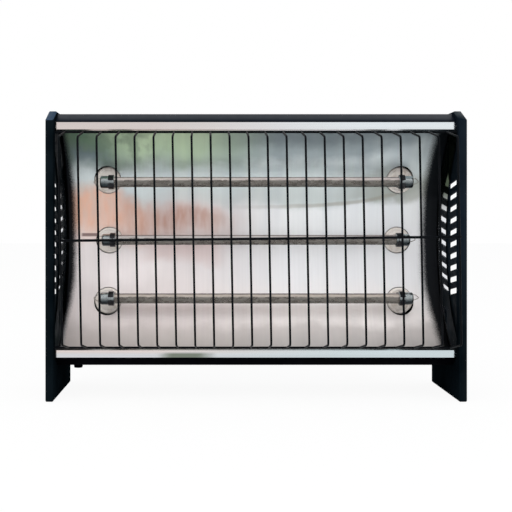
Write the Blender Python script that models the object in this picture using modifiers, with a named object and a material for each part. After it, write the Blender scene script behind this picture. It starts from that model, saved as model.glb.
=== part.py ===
"""Portable electric heater with three horizontal quartz bars.

Two moulded side panels stand on the floor and carry a folded steel casing. A bowed reflector
fills the casing's mouth. Three quartz tubes lie in front of it, in clips on ceramic holders
that stand on two upright rails behind the reflector, and a bulging wire guard closes the mouth.

X runs along the bars, +Y runs from the front to the back, and +Z is up. The origin is on the
floor, under the middle of the heater's box. All sizes are in metres, and a "depth" is a
distance behind the side panels' front faces.
"""

from math import cos, pi, radians, sin, sqrt, tan

import bmesh
import bpy
import numpy as np
from mathutils import Euler, Matrix, Vector

# Side panels, which are also the feet
OVERALL_WIDTH = 0.400
PANEL_THICKNESS = 0.0075
PANEL_DEPTH = 0.110
PANEL_HEIGHT = 0.278
PANEL_WALL = 0.0025
PANEL_RIM = 0.003
PANEL_CHAMFER_DEPTH = 0.021
PANEL_CHAMFER_DROP = 0.010
PANEL_EDGE_ROUND = 0.0008

# Slots in the side panels
SLOT_COUNT = 10
SLOT_PITCH = 0.0118
SLOT_LENGTH = 0.039
SLOT_HEIGHT = 0.0057
SLOT_CORNER = 0.0014
SLOT_TILT = radians(8.5)
SLOT_FRONT_DEPTH = 0.022
SLOT_RISE = 0.0018

# Casing of folded sheet
CASING_BASE = 0.0314
CASING_TOP_DROP = 0.0024
CASING_FRONT_DEPTH = 0.010
CASING_REAR_INSET = 0.003
CASING_CHAMFER_DEPTH = 0.014
CASING_CHAMFER_DROP = 0.0088
CASING_SHEET = 0.0008
FLANGE_HEIGHT = 0.014
HEM_OVERLAP = 0.0050
TAB_WIDTH = 0.014
TAB_DROP = 0.014

# Vents in the rear panel
VENT_ROWS = 2
VENT_COLUMNS = 9
VENT_END_INSET = 0.0725
VENT_WIDTH = 0.006
VENT_HEIGHT = 0.060
VENT_ROW_SPACING = 0.090

# Reflector
REFLECTOR_SHEET = 0.0006
LIP_HEIGHT = 0.0069
BOWL_DEPTH = 0.054
LIP_SHADOW_GAP = 0.0005
BOWL_STEPS = 20
BOWL_OVERHANG = 0.0036
BOWL_OVERHANG_DEPTH = 0.012
HOLDER_HOLE_RADIUS = 0.0136

# Bars: tubes, coils, caps and clips
BAR_PITCH = 0.0573
BAR_DROP = 0.0009
BAR_SHIFT = 0.002
BAR_STANDOFF = 0.0146
TUBE_RADIUS = 0.005
TUBE_WALL = 0.001
TUBE_SIDES = 16
TUBE_END_GAP = 0.0018
CAP_OFFSET = 0.001
CAP_LENGTH = 0.014
CAP_RADIUS = 0.00615
CAP_END_WALL = 0.0022
CAP_LIP = 0.0005
COIL_CURLS = 14
COIL_POINTS_PER_CURL = 8
COIL_RADIUS = 0.0029
COIL_WIRE_RADIUS = 0.00045
COIL_LEAD = 0.007
CLIP_SHEET = 0.0006
CLIP_WIDTH = 0.005
CLIP_INSET = 0.003
CLIP_BASE_HALF = 0.0045
CLIP_ARC_START = radians(42)
CLIP_ARC_END = radians(150)
CLIP_FLARE = 0.0012

# Ceramic holders, their rails and the wires from the caps
HOLDER_INSET = 0.0465
HOLDER_PITCH = 0.0605
HOLDER_DROP = 0.0014
HOLDER_RADIUS = 0.013
HOLDER_DISC = 0.005
HOLDER_EDGE = 0.0006
HOLDER_SHANK_RADIUS = 0.007
RAIL_BACK_INSET = 0.034
RAIL_SHEET = 0.001
RAIL_WIDTH = 0.022
RAIL_FOOT = 0.012
LEAD_WIRE_RADIUS = 0.0004
LEAD_REACH = 0.007
LEAD_RISE = 0.0036
LEAD_SEAT = 0.0012
LEAD_SIDES = 6

# Wire guard
GUARD_WIRES = 22
GUARD_END_INSET = 0.0101
GUARD_WIRE_RADIUS = 0.0010
GUARD_RAIL_RADIUS = 0.00115
GUARD_MIDDLE_RADIUS = 0.0012
GUARD_STANDOFF = 0.032
GUARD_LEG_DROP = 0.0079
GUARD_LEAN = 0.018
GUARD_SHIFT = 0.0018
GUARD_BEND_RADIUS = 0.004
GUARD_BEND_STEPS = 2
GUARD_RAIL_DEPTH = 0.008
GUARD_RAIL_INSET = 0.0027
GUARD_MIDDLE_RISE = 0.0018
GUARD_MIDDLE_TILT = radians(0.56)
GUARD_MIDDLE_OVERHANG = 0.0026
GUARD_WELD = 0.0006
GUARD_SOCKET_DEPTH = 0.003

# Rocker switches in a well of the right panel
SWITCH_BACK_INSETS = {"front": 0.044, "rear": 0.024}
SWITCH_DROP = 0.035
WELL_DEPTH = 0.0048
WELL_MARGIN = 0.0025
WELL_HALF_HEIGHT = 0.014
WELL_WALL = 0.0025
BEZEL_HALF_WIDTH = 0.0075
BEZEL_HALF_HEIGHT = 0.0105
BEZEL_THICKNESS = 0.0015
HOUSING_HALF_WIDTH = 0.0062
HOUSING_HALF_HEIGHT = 0.0094
HOUSING_LENGTH = 0.0135
HOUSING_WALL = 0.001
SPADE_LENGTH = 0.007
SPADE_WIDTH = 0.0048
SPADE_THICKNESS = 0.0008
ROCKER_HALF_WIDTH = 0.0048
ROCKER_HALF_HEIGHT = 0.0076
ROCKER_CREST = 0.003
ROCKER_VALLEY = 0.0019
ROCKER_KEEL = 0.0015
ROCKER_TILT = radians(10)
ROCKER_POCKET_BELOW = 0.0034
ROCKER_POCKET_SLACK = 0.0008
PIN_RADIUS = 0.001
PIN_CLEARANCE = 0.00009
PIN_SIDES = 12

# Fasteners
PANEL_SCREW_FRONT_DEPTH = 0.031
PANEL_SCREW_BACK_INSET = 0.019
PANEL_SCREW_INSET = 0.0091
PANEL_SCREW_LENGTH = 0.014
REAR_SCREW_END_INSET = 0.0225
REAR_SCREW_INSET = 0.0075
REAR_SCREW_LENGTH = 0.0085
SCREW_RADIUS = 0.00175
SCREW_HEAD_RADIUS = 0.0035
SCREW_HEAD_HEIGHT = 0.0019
SCREW_RECESS_HALF = 0.0019
SCREW_RECESS_WIDTH = 0.0008
SCREW_RECESS_FLARE = 1.5
SCREW_RECESS_DEPTH = 0.0012
SCREW_SINK = 0.0002
SCREW_SIDES = 10
BOSS_RADIUS = 0.0045

# Electrical pieces behind the reflector
GLAND_INSET = 0.0155
GLAND_BACK_INSET = 0.050
GLAND_DROP = 0.008
GLAND_RADIUS = 0.0048
GLAND_TIP_RADIUS = 0.0041
GLAND_NECK_RADIUS = 0.0041
GLAND_FLANGE_RADIUS = 0.0058
GLAND_FLANGE_HEIGHT = 0.0035
GLAND_BORE_RADIUS = 0.0032
BLOCK_INSET = 0.0825
BLOCK_BACK_INSET = 0.022
BLOCK_LENGTH = 0.030
BLOCK_WIDTH = 0.016
BLOCK_HEIGHT = 0.013
BLOCK_WAYS = 3
BLOCK_WELL_RADIUS = 0.0024
BLOCK_WELL_DEPTH = 0.007
CUTOUT_RISE = 0.0285
CUTOUT_RADIUS = 0.008
CUTOUT_LENGTH = 0.009
CUTOUT_SPADE_SPACING = 0.004
HOOKUP_RADIUS = 0.0011
HOOKUP_BACK_INSET = 0.014
HOOKUP_BEND = 0.008

# Clearances
FIT = 0.0003
SIDES = {"left": -1, "right": 1}
ROWS = {"top": 1, "middle": 0, "bottom": -1}
ENDS = {"upper": 1, "lower": -1}

# Places that follow from the sizes above
GUARD_REACH = GUARD_STANDOFF + GUARD_WIRE_RADIUS
FRONT_Y = (GUARD_REACH - PANEL_DEPTH) / 2
PANEL_INNER_X = OVERALL_WIDTH / 2 - PANEL_THICKNESS
POCKET_FLOOR_X = OVERALL_WIDTH / 2 - PANEL_WALL
CASING_HALF_LENGTH = PANEL_INNER_X - FIT
CASING_TOP = PANEL_HEIGHT - CASING_TOP_DROP
CASING_BACK_DEPTH = PANEL_DEPTH - CASING_REAR_INSET
RAIL_DEPTH = PANEL_DEPTH - RAIL_BACK_INSET
GLAND_DEPTH = PANEL_DEPTH - GLAND_BACK_INSET
BLOCK_DEPTH = PANEL_DEPTH - BLOCK_BACK_INSET
HOOKUP_DEPTH = PANEL_DEPTH - HOOKUP_BACK_INSET
SWITCH_DEPTHS = {name: PANEL_DEPTH - inset for name, inset in SWITCH_BACK_INSETS.items()}
PANEL_SCREW_DEPTHS = {
    "front": PANEL_SCREW_FRONT_DEPTH, "rear": PANEL_DEPTH - PANEL_SCREW_BACK_INSET
}
MIDDLE = (CASING_BASE + CASING_TOP) / 2
CASING_HALF_HEIGHT = CASING_TOP - MIDDLE
CASING_EDGE_HALF_HEIGHT = CASING_HALF_HEIGHT - CASING_CHAMFER_DROP
LIP_HALF_HEIGHT = CASING_EDGE_HALF_HEIGHT - LIP_SHADOW_GAP
MOUTH_HALF_HEIGHT = LIP_HALF_HEIGHT - LIP_HEIGHT
GUARD_RAIL_HALF_HEIGHT = MOUTH_HALF_HEIGHT - GUARD_RAIL_INSET
GUARD_CORNER_HALF_HEIGHT = GUARD_RAIL_HALF_HEIGHT - GUARD_LEG_DROP
GUARD_OUTER_X = PANEL_INNER_X - GUARD_END_INSET
GUARD_PITCH = 2 * GUARD_OUTER_X / (GUARD_WIRES - 1)
VENT_PITCH = 2 * (PANEL_INNER_X - VENT_END_INSET) / (VENT_COLUMNS - 1)
HEM_DEPTH = CASING_FRONT_DEPTH + REFLECTOR_SHEET + FIT
FLANGE_DEPTH = CASING_BACK_DEPTH - CASING_SHEET - FIT
BOWL_HALF_LENGTH = CASING_HALF_LENGTH + BOWL_OVERHANG
BOWL_RADIUS = (MOUTH_HALF_HEIGHT**2 + BOWL_DEPTH**2) / (2 * BOWL_DEPTH)
HOLDER_X = PANEL_INNER_X - HOLDER_INSET
CAP_CENTRE_X = HOLDER_X + CAP_OFFSET
CAP_INNER_X = CAP_CENTRE_X - CAP_LENGTH / 2
CAP_BORE_END_X = CAP_INNER_X + CAP_LENGTH - CAP_END_WALL
TUBE_HALF_LENGTH = CAP_BORE_END_X - TUBE_END_GAP
WELL_FLOOR_X = OVERALL_WIDTH / 2 - WELL_DEPTH
BEZEL_BACK_X = WELL_FLOOR_X + FIT
ROCKER_AXIS_X = BEZEL_BACK_X
SWITCH_HEIGHT = PANEL_HEIGHT - SWITCH_DROP
REAR_SCREW_X = PANEL_INNER_X - REAR_SCREW_END_INSET
GLAND_X = GLAND_INSET - PANEL_INNER_X
BLOCK_X = BLOCK_INSET - PANEL_INNER_X
CUTOUT_HEIGHT = MIDDLE + CUTOUT_RISE

# Orientations of shapes drawn flat in local X and Y, or turned about local Z
FACING_RIGHT = Euler((pi / 2, 0, pi / 2)).to_matrix().to_4x4()
FACING_FRONT = Euler((pi / 2, 0, 0)).to_matrix().to_4x4()
FACING_BACK = Euler((-pi / 2, 0, 0)).to_matrix().to_4x4()
AXIS_TO_RIGHT = Euler((0, pi / 2, 0)).to_matrix().to_4x4()
AXIS_TO_LEFT = Euler((0, -pi / 2, 0)).to_matrix().to_4x4()


def y_at(depth):
    """World Y of a depth behind the side panels' front faces."""
    return FRONT_Y + depth


def bowl_depth_at(height):
    """Depth of the reflector's face at a height above or below the middle of the mouth."""
    return CASING_FRONT_DEPTH + BOWL_DEPTH - BOWL_RADIUS + sqrt(BOWL_RADIUS**2 - height**2)


def bar_height(row):
    return MIDDLE - BAR_DROP + row * BAR_PITCH


def holder_height(row):
    return MIDDLE - HOLDER_DROP + row * HOLDER_PITCH


def holder_face_depth(row):
    return bowl_depth_at(row * HOLDER_PITCH)


def bar_depth(row):
    return holder_face_depth(row) - BAR_STANDOFF


def bar_axis(row):
    """The middle point of a bar's axis; the bars sit a little to the right of their discs."""
    return Vector((BAR_SHIFT, y_at(bar_depth(row)), bar_height(row)))


# Scene, materials and objects


def clear_scene():
    for item in list(bpy.data.objects):
        bpy.data.objects.remove(item, do_unlink=True)


def new_collection(name):
    group = bpy.data.collections.new(name)
    bpy.context.scene.collection.children.link(group)
    return group


def new_material(name, colour, roughness, metallic=0.0, transmission=0.0):
    material = bpy.data.materials.new(name)
    material.use_nodes = True
    shader = material.node_tree.nodes["Principled BSDF"]
    shader.inputs["Base Color"].default_value = (*colour, 1.0)
    shader.inputs["Roughness"].default_value = roughness
    shader.inputs["Metallic"].default_value = metallic
    shader.inputs["Transmission Weight"].default_value = transmission
    return material


def add_part(name, mesh, matrix, material):
    """Put a mesh in the heater's collection as one named piece."""
    mesh.name = name
    part = bpy.data.objects.new(name, mesh)
    if not mesh.materials:
        mesh.materials.append(material)
    part.matrix_world = matrix
    parts.objects.link(part)
    return part


def add_cutter(name, shapes):
    """Join (mesh, matrix) shapes that stay clear of each other into one cutter."""
    joined = bmesh.new()
    for mesh, matrix in shapes:
        placed = mesh.copy()
        placed.transform(matrix)
        joined.from_mesh(placed)
        bpy.data.meshes.remove(placed)
    mesh = bpy.data.meshes.new(name)
    joined.to_mesh(mesh)
    joined.free()
    cutter = bpy.data.objects.new(name, mesh)
    cutter.hide_render = True
    cutter.display_type = "WIRE"
    cutters.objects.link(cutter)
    return cutter


def combine(part, other, operation):
    modifier = part.modifiers.new(other.name, "BOOLEAN")
    modifier.operation = operation
    modifier.solver = "EXACT"
    modifier.object = other


def cut(part, cutter):
    combine(part, cutter, "DIFFERENCE")


def join(part, addition):
    combine(part, addition, "UNION")


def mesh_from(shape, name):
    mesh = bpy.data.meshes.new(name)
    shape.to_mesh(mesh)
    shape.free()
    return mesh


def mesh_of(item):
    """Mesh of an object as its modifiers or its curve give it, welded; the object is removed."""
    bpy.context.scene.collection.objects.link(item)
    bpy.context.view_layer.update()
    graph = bpy.context.evaluated_depsgraph_get()
    mesh = bpy.data.meshes.new_from_object(item.evaluated_get(graph))
    shape = bmesh.new()
    shape.from_mesh(mesh)
    bmesh.ops.remove_doubles(shape, verts=shape.verts, dist=1e-6)
    shape.to_mesh(mesh)
    shape.free()
    bpy.data.objects.remove(item, do_unlink=True)
    return mesh


def smooth(mesh, angle=35):
    mesh.shade_smooth()
    mesh.set_sharp_from_angle(angle=radians(angle))


# Shapes


def box(low, high):
    """A box between two corners."""
    low = Vector(low)
    high = Vector(high)
    shape = bmesh.new()
    bmesh.ops.create_cube(shape, size=1.0)
    bmesh.ops.scale(shape, vec=high - low, verts=shape.verts)
    bmesh.ops.translate(shape, vec=(low + high) / 2, verts=shape.verts)
    return mesh_from(shape, "box")


def rod(length, radius, sides):
    """A cylinder about local Z, centred on the origin."""
    shape = bmesh.new()
    bmesh.ops.create_cone(
        shape, cap_ends=True, segments=sides, radius1=radius, radius2=radius, depth=length
    )
    return mesh_from(shape, "rod")


def flat_shape(outlines, thickness):
    """Flat outlines in local X and Y, filled and given a thickness centred on local Z."""
    curve = bpy.data.curves.new("outline", "CURVE")
    curve.dimensions = "2D"
    curve.fill_mode = "BOTH"
    curve.extrude = thickness / 2
    for outline in outlines:
        spline = curve.splines.new("POLY")
        spline.points.add(len(outline) - 1)
        spline.use_cyclic_u = True
        for point, corner in zip(spline.points, outline):
            point.co = (corner[0], corner[1], 0, 1)
    return mesh_of(bpy.data.objects.new("outline", curve))


def wire(points, radius, resolution=1):
    """A round wire with flat ends along a line of points."""
    curve = bpy.data.curves.new("wire", "CURVE")
    curve.dimensions = "3D"
    curve.bevel_depth = radius
    curve.bevel_resolution = resolution
    curve.use_fill_caps = True
    spline = curve.splines.new("POLY")
    spline.points.add(len(points) - 1)
    for point, place in zip(spline.points, points):
        point.co = (*place, 1)
    mesh = mesh_of(bpy.data.objects.new("wire", curve))
    smooth(mesh, 50)
    return mesh


def profile_mesh(profile, closed):
    """A line of (radius, height) points in local X and Z, listed down the outer side."""
    shape = bmesh.new()
    corners = [shape.verts.new((radius, 0, height)) for radius, height in profile]
    for start, end in zip(corners, corners[1:]):
        shape.edges.new((start, end))
    if closed:
        shape.edges.new((corners[-1], corners[0]))
    return mesh_from(shape, "profile")


def turn(item, sides):
    """Turn an object's profile about its Z axis."""
    modifier = item.modifiers.new("turned", "SCREW")
    modifier.axis = "Z"
    modifier.steps = sides
    modifier.render_steps = sides
    modifier.use_merge_vertices = True
    modifier.merge_threshold = 0.00001
    modifier.use_smooth_shade = True


def turned_mesh(profile, sides, closed=False):
    item = bpy.data.objects.new("turned", profile_mesh(profile, closed))
    turn(item, sides)
    return mesh_of(item)


def add_turned(name, profile, sides, matrix, material, closed=False):
    part = add_part(name, profile_mesh(profile, closed), matrix, material)
    turn(part, sides)
    return part


def fold(name, line, low_x, high_x, thickness, material):
    """A sheet folded along X: a line of (depth, height) points drawn out from low_x to high_x.

    The thickness lies on the right-hand side of the line as it is walked, with the depth
    axis pointing right and the height axis pointing up.
    """
    shape = bmesh.new()
    corners = [shape.verts.new((low_x, y_at(depth), height)) for depth, height in line]
    edges = [shape.edges.new(pair) for pair in zip(corners, corners[1:])]
    drawn = bmesh.ops.extrude_edge_only(shape, edges=edges)
    moved = [item for item in drawn["geom"] if isinstance(item, bmesh.types.BMVert)]
    bmesh.ops.translate(shape, vec=(high_x - low_x, 0, 0), verts=moved)
    part = add_part(name, mesh_from(shape, name), Matrix(), material)
    modifier = part.modifiers.new("thickness", "SOLIDIFY")
    modifier.thickness = thickness
    modifier.offset = -1
    modifier.use_even_offset = True
    return part


def fillet(points, radius, steps, closed=False):
    """Replace the corners of a line of points with arcs."""
    points = [Vector(point) for point in points]
    count = len(points)
    result = []
    for index, corner in enumerate(points):
        if not closed and index in (0, count - 1):
            result.append(corner)
            continue
        before = (points[index - 1] - corner).normalized()
        after = (points[(index + 1) % count] - corner).normalized()
        half = before.angle(after) / 2
        centre = corner + (before + after).normalized() * radius / sin(half)
        first = corner + before * radius / tan(half) - centre
        last = corner + after * radius / tan(half) - centre
        sweep = first.angle(last)
        side = (last - first * cos(sweep)) / sin(sweep)
        for step in range(steps + 1):
            turn_angle = sweep * step / steps
            result.append(centre + first * cos(turn_angle) + side * sin(turn_angle))
    return result


def rectangle(centre, half_width, half_height, tilt=0.0, corner=0.0, steps=1):
    """Outline of a rectangle, tilted about its centre, with rounded corners if they are given."""
    along = Vector((cos(tilt), sin(tilt))) * half_width
    across = Vector((-sin(tilt), cos(tilt))) * half_height
    middle = Vector(centre)
    corners = [
        middle - along - across,
        middle + along - across,
        middle + along + across,
        middle - along + across,
    ]
    return fillet(corners, corner, steps, closed=True) if corner else corners


def circle(centre, radius, sides):
    turns = [2 * pi * index / sides for index in range(sides)]
    return [Vector((centre[0] + radius * cos(t), centre[1] + radius * sin(t))) for t in turns]


# Screws


def recess_outline():
    """Outline of the cross recess in a screw's head, a little wider where its arms meet."""
    arm = SCREW_RECESS_HALF
    half = SCREW_RECESS_WIDTH / 2
    inner = half * SCREW_RECESS_FLARE
    quarter = [(arm, -half), (arm, half), (inner, inner)]
    outline = []
    for index in range(4):
        turn_angle = index * pi / 2
        for x, y in quarter:
            outline.append((x * cos(turn_angle) - y * sin(turn_angle),
                            x * sin(turn_angle) + y * cos(turn_angle)))
    return outline


def screw_mesh(profile, head_top):
    """A screw with its head up, with a cross recess cut into the head."""
    item = bpy.data.objects.new("screw", profile_mesh(profile, False))
    turn(item, SCREW_SIDES)
    recess = flat_shape([recess_outline()], 2 * SCREW_RECESS_DEPTH)
    cutter = add_cutter("screw_recess", [(recess, Matrix.Translation((0, 0, head_top)))])
    cut(item, cutter)
    mesh = mesh_of(item)
    bpy.data.objects.remove(cutter, do_unlink=True)
    return mesh


def countersunk_profile(clearance=0.0, above=0.0):
    """Countersunk screw with its head's top at height 0, or the hole that takes it."""
    head = SCREW_HEAD_RADIUS + clearance
    shank = SCREW_RADIUS + clearance
    end = -PANEL_SCREW_LENGTH - clearance
    top = [(0, above), (head, above)] if above else [(0, 0)]
    return top + [(head, 0), (shank, -SCREW_HEAD_HEIGHT), (shank, end), (0, end)]


def pan_profile():
    """Pan-head screw with the underside of its head at height 0."""
    return [
        (0, SCREW_HEAD_HEIGHT),
        (SCREW_HEAD_RADIUS * 0.72, SCREW_HEAD_HEIGHT),
        (SCREW_HEAD_RADIUS, SCREW_HEAD_HEIGHT * 0.45),
        (SCREW_HEAD_RADIUS, 0),
        (SCREW_RADIUS, 0),
        (SCREW_RADIUS, -REAR_SCREW_LENGTH),
        (0, -REAR_SCREW_LENGTH),
    ]


def panel_screw_places(side):
    """Names of a side's four panel screws, with the depth and height of each."""
    for end_name, end in ENDS.items():
        height = MIDDLE + end * (CASING_HALF_HEIGHT - PANEL_SCREW_INSET)
        for place_name, depth in PANEL_SCREW_DEPTHS.items():
            yield f"panel_screw_{side}_{end_name}_{place_name}", depth, height


def make_panel_screws(material):
    mesh = screw_mesh(countersunk_profile(), 0)
    for side_name, side in SIDES.items():
        turned = AXIS_TO_RIGHT if side > 0 else AXIS_TO_LEFT
        for name, depth, height in panel_screw_places(side_name):
            head = Vector((side * (OVERALL_WIDTH / 2 - SCREW_SINK), y_at(depth), height))
            add_part(name, mesh.copy(), Matrix.Translation(head) @ turned, material)


def make_rear_screws(material):
    mesh = screw_mesh(pan_profile(), SCREW_HEAD_HEIGHT)
    for side_name, side in SIDES.items():
        for end_name, end in ENDS.items():
            height = MIDDLE + end * (CASING_HALF_HEIGHT - REAR_SCREW_INSET)
            place = Vector((side * REAR_SCREW_X, y_at(CASING_BACK_DEPTH + FIT), height))
            name = f"rear_screw_{side_name}_{end_name}"
            add_part(name, mesh.copy(), Matrix.Translation(place) @ FACING_BACK, material)


# Side panels


def pocket_outline():
    """Outline of the pocket in a panel's inner face: the casing's outline less a rim."""
    front = CASING_FRONT_DEPTH + LIP_SHADOW_GAP
    knee = CASING_FRONT_DEPTH + CASING_CHAMFER_DEPTH
    back = CASING_BACK_DEPTH - PANEL_RIM
    high = CASING_HALF_HEIGHT - PANEL_RIM
    edge = CASING_EDGE_HALF_HEIGHT - PANEL_RIM
    upper = [(back, high), (knee, high), (front, edge)]
    lower = [(depth, -height) for depth, height in reversed(upper)]
    return [(y_at(depth), MIDDLE + height) for depth, height in upper + lower]


def well_span():
    """Half width and middle depth of the well that takes the two rocker switches."""
    front = SWITCH_DEPTHS["front"] - BEZEL_HALF_WIDTH - WELL_MARGIN
    rear = SWITCH_DEPTHS["rear"] + BEZEL_HALF_WIDTH + WELL_MARGIN
    return (rear - front) / 2, (front + rear) / 2


def well_outline(margin):
    half, depth = well_span()
    return rectangle((y_at(depth), SWITCH_HEIGHT), half + margin, WELL_HALF_HEIGHT + margin)


def slot_outlines():
    middle_depth = SLOT_FRONT_DEPTH + SLOT_LENGTH / 2
    outlines = []
    for index in range(SLOT_COUNT):
        rise = (index - (SLOT_COUNT - 1) / 2) * SLOT_PITCH
        centre = (y_at(middle_depth), MIDDLE + SLOT_RISE + rise)
        outlines.append(
            rectangle(centre, SLOT_LENGTH / 2, SLOT_HEIGHT / 2, -SLOT_TILT, SLOT_CORNER)
        )
    return outlines


def panel_outline():
    """Side view of a panel, with the sloped corner at its top front."""
    corners = [
        (0, 0),
        (PANEL_DEPTH, 0),
        (PANEL_DEPTH, PANEL_HEIGHT),
        (PANEL_CHAMFER_DEPTH, PANEL_HEIGHT),
        (0, PANEL_HEIGHT - PANEL_CHAMFER_DROP),
    ]
    return [(y_at(depth), height) for depth, height in corners]


def make_side_panel(side_name, side, material):
    name = f"side_panel_{side_name}"
    middle_x = side * (PANEL_INNER_X + PANEL_THICKNESS / 2)
    mesh = flat_shape([panel_outline()], PANEL_THICKNESS)
    panel = add_part(name, mesh, Matrix.Translation((middle_x, 0, 0)) @ FACING_RIGHT, material)
    edges = panel.modifiers.new("edges", "BEVEL")
    edges.width = PANEL_EDGE_ROUND
    edges.segments = 1
    edges.limit_method = "ANGLE"

    outlines = [pocket_outline()]
    screws = list(panel_screw_places(side_name))
    for _, depth, height in screws:
        outlines.append(circle((y_at(depth), height), BOSS_RADIUS, SCREW_SIDES))
    if side > 0:
        outlines.append(well_outline(WELL_WALL))
    pocket_depth = PANEL_THICKNESS - PANEL_WALL
    pocket = flat_shape(outlines, 2 * pocket_depth)
    at_face = Matrix.Translation((side * PANEL_INNER_X, 0, 0)) @ FACING_RIGHT
    cut(panel, add_cutter(f"{name}_pocket", [(pocket, at_face)]))

    slots = flat_shape(slot_outlines(), 2 * PANEL_THICKNESS)
    at_wall = Matrix.Translation((side * POCKET_FLOOR_X, 0, 0)) @ FACING_RIGHT
    cut(panel, add_cutter(f"{name}_slots", [(slots, at_wall)]))

    hole = turned_mesh(countersunk_profile(FIT, PANEL_THICKNESS), SCREW_SIDES)
    turned = AXIS_TO_RIGHT if side > 0 else AXIS_TO_LEFT
    head_x = side * (OVERALL_WIDTH / 2 - SCREW_SINK)
    holes = [
        (hole, Matrix.Translation((head_x, y_at(depth), height)) @ turned)
        for _, depth, height in screws
    ]
    cut(panel, add_cutter(f"{name}_screw_holes", holes))

    socket = rod(2 * GUARD_SOCKET_DEPTH, GUARD_RAIL_RADIUS + FIT, SCREW_SIDES)
    sockets = []
    for end in ENDS.values():
        height = MIDDLE + end * GUARD_RAIL_HALF_HEIGHT
        place = Matrix.Translation((side * PANEL_INNER_X, y_at(GUARD_RAIL_DEPTH), height))
        sockets.append((socket, place @ AXIS_TO_RIGHT))
    cut(panel, add_cutter(f"{name}_guard_sockets", sockets))
    if side > 0:
        cut_switch_well(panel)


def cut_switch_well(panel):
    """Cut the well from outside, then a hole in its floor for each switch."""
    well = flat_shape([well_outline(0)], 2 * WELL_DEPTH)
    at_outside = Matrix.Translation((OVERALL_WIDTH / 2, 0, 0)) @ FACING_RIGHT
    cut(panel, add_cutter("switch_well", [(well, at_outside)]))
    openings = [
        rectangle(
            (y_at(depth), SWITCH_HEIGHT), HOUSING_HALF_WIDTH + FIT, HOUSING_HALF_HEIGHT + FIT
        )
        for depth in SWITCH_DEPTHS.values()
    ]
    holes = flat_shape(openings, 2 * PANEL_THICKNESS)
    at_inside = Matrix.Translation((PANEL_INNER_X, 0, 0)) @ FACING_RIGHT
    cut(panel, add_cutter("switch_openings", [(holes, at_inside)]))


# Casing


def cover_line(end):
    """Outer line of the top cover (end 1) or of the base pan (end -1), from front to back."""
    knee = CASING_FRONT_DEPTH + CASING_CHAMFER_DEPTH
    line = [
        (HEM_DEPTH, CASING_EDGE_HALF_HEIGHT - HEM_OVERLAP),
        (HEM_DEPTH, CASING_EDGE_HALF_HEIGHT),
        (knee, CASING_HALF_HEIGHT),
        (FLANGE_DEPTH, CASING_HALF_HEIGHT),
        (FLANGE_DEPTH, CASING_HALF_HEIGHT - FLANGE_HEIGHT),
    ]
    placed = [(depth, MIDDLE + end * height) for depth, height in line]
    return placed if end > 0 else placed[::-1]


def make_cover(name, end, material):
    """A folded cover with tabs for the panel screws and a rear flange for the rear panel."""
    cover = fold(
        name, cover_line(end), -CASING_HALF_LENGTH, CASING_HALF_LENGTH, CASING_SHEET, material
    )
    sheet_middle = CASING_HALF_HEIGHT - CASING_SHEET / 2
    tabs = []
    holes = []
    clear = SCREW_RADIUS + FIT
    hole = rod(6 * CASING_SHEET, clear, SCREW_SIDES)
    for side in SIDES.values():
        inner_x = side * (CASING_HALF_LENGTH - CASING_SHEET)
        outer_x = side * CASING_HALF_LENGTH
        for depth in PANEL_SCREW_DEPTHS.values():
            low = MIDDLE + end * (sheet_middle - TAB_DROP)
            high = MIDDLE + end * sheet_middle
            corner = (min(inner_x, outer_x), y_at(depth - TAB_WIDTH / 2), min(low, high))
            opposite = (max(inner_x, outer_x), y_at(depth + TAB_WIDTH / 2), max(low, high))
            tabs.append((box(corner, opposite), Matrix()))
            height = MIDDLE + end * (CASING_HALF_HEIGHT - PANEL_SCREW_INSET)
            holes.append((hole, Matrix.Translation((outer_x, y_at(depth), height)) @ AXIS_TO_RIGHT))
        height = MIDDLE + end * (CASING_HALF_HEIGHT - REAR_SCREW_INSET)
        place = Matrix.Translation((side * REAR_SCREW_X, y_at(FLANGE_DEPTH), height))
        holes.append((hole, place @ FACING_FRONT))
    join(cover, add_cutter(f"{name}_tabs", tabs))
    cut(cover, add_cutter(f"{name}_screw_holes", holes))
    return cover


def make_base_pan(material):
    pan = make_cover("base_pan", -1, material)
    hole = rod(6 * CASING_SHEET, GLAND_NECK_RADIUS + FIT, TUBE_SIDES)
    place = Matrix.Translation((GLAND_X, y_at(GLAND_DEPTH), CASING_BASE))
    cut(pan, add_cutter("gland_hole", [(hole, place)]))


def make_rear_panel(material):
    """Flat sheet with two rows of upright vents and four screw holes."""
    outlines = [rectangle((0, MIDDLE), CASING_HALF_LENGTH, CASING_HALF_HEIGHT)]
    for row in range(VENT_ROWS):
        height = MIDDLE + (row - (VENT_ROWS - 1) / 2) * VENT_ROW_SPACING
        for column in range(VENT_COLUMNS):
            x = (column - (VENT_COLUMNS - 1) / 2) * VENT_PITCH
            outlines.append(rectangle((x, height), VENT_WIDTH / 2, VENT_HEIGHT / 2))
    for side in SIDES.values():
        for end in ENDS.values():
            height = MIDDLE + end * (CASING_HALF_HEIGHT - REAR_SCREW_INSET)
            outlines.append(circle((side * REAR_SCREW_X, height), SCREW_RADIUS + FIT, SCREW_SIDES))
    mesh = flat_shape(outlines, CASING_SHEET)
    place = Matrix.Translation((0, y_at(CASING_BACK_DEPTH - CASING_SHEET / 2), 0))
    add_part("rear_panel", mesh, place @ FACING_FRONT, material)


def reflector_line():
    """Front line of the reflector from its lower lip to its upper lip."""
    line = [(CASING_FRONT_DEPTH, MIDDLE - LIP_HALF_HEIGHT)]
    half_angle = np.arcsin(MOUTH_HALF_HEIGHT / BOWL_RADIUS)
    for step in range(BOWL_STEPS + 1):
        angle = half_angle * (2 * step / BOWL_STEPS - 1)
        height = float(BOWL_RADIUS * sin(angle))
        line.append((bowl_depth_at(height), MIDDLE + height))
    line.append((CASING_FRONT_DEPTH, MIDDLE + LIP_HALF_HEIGHT))
    return line


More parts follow.
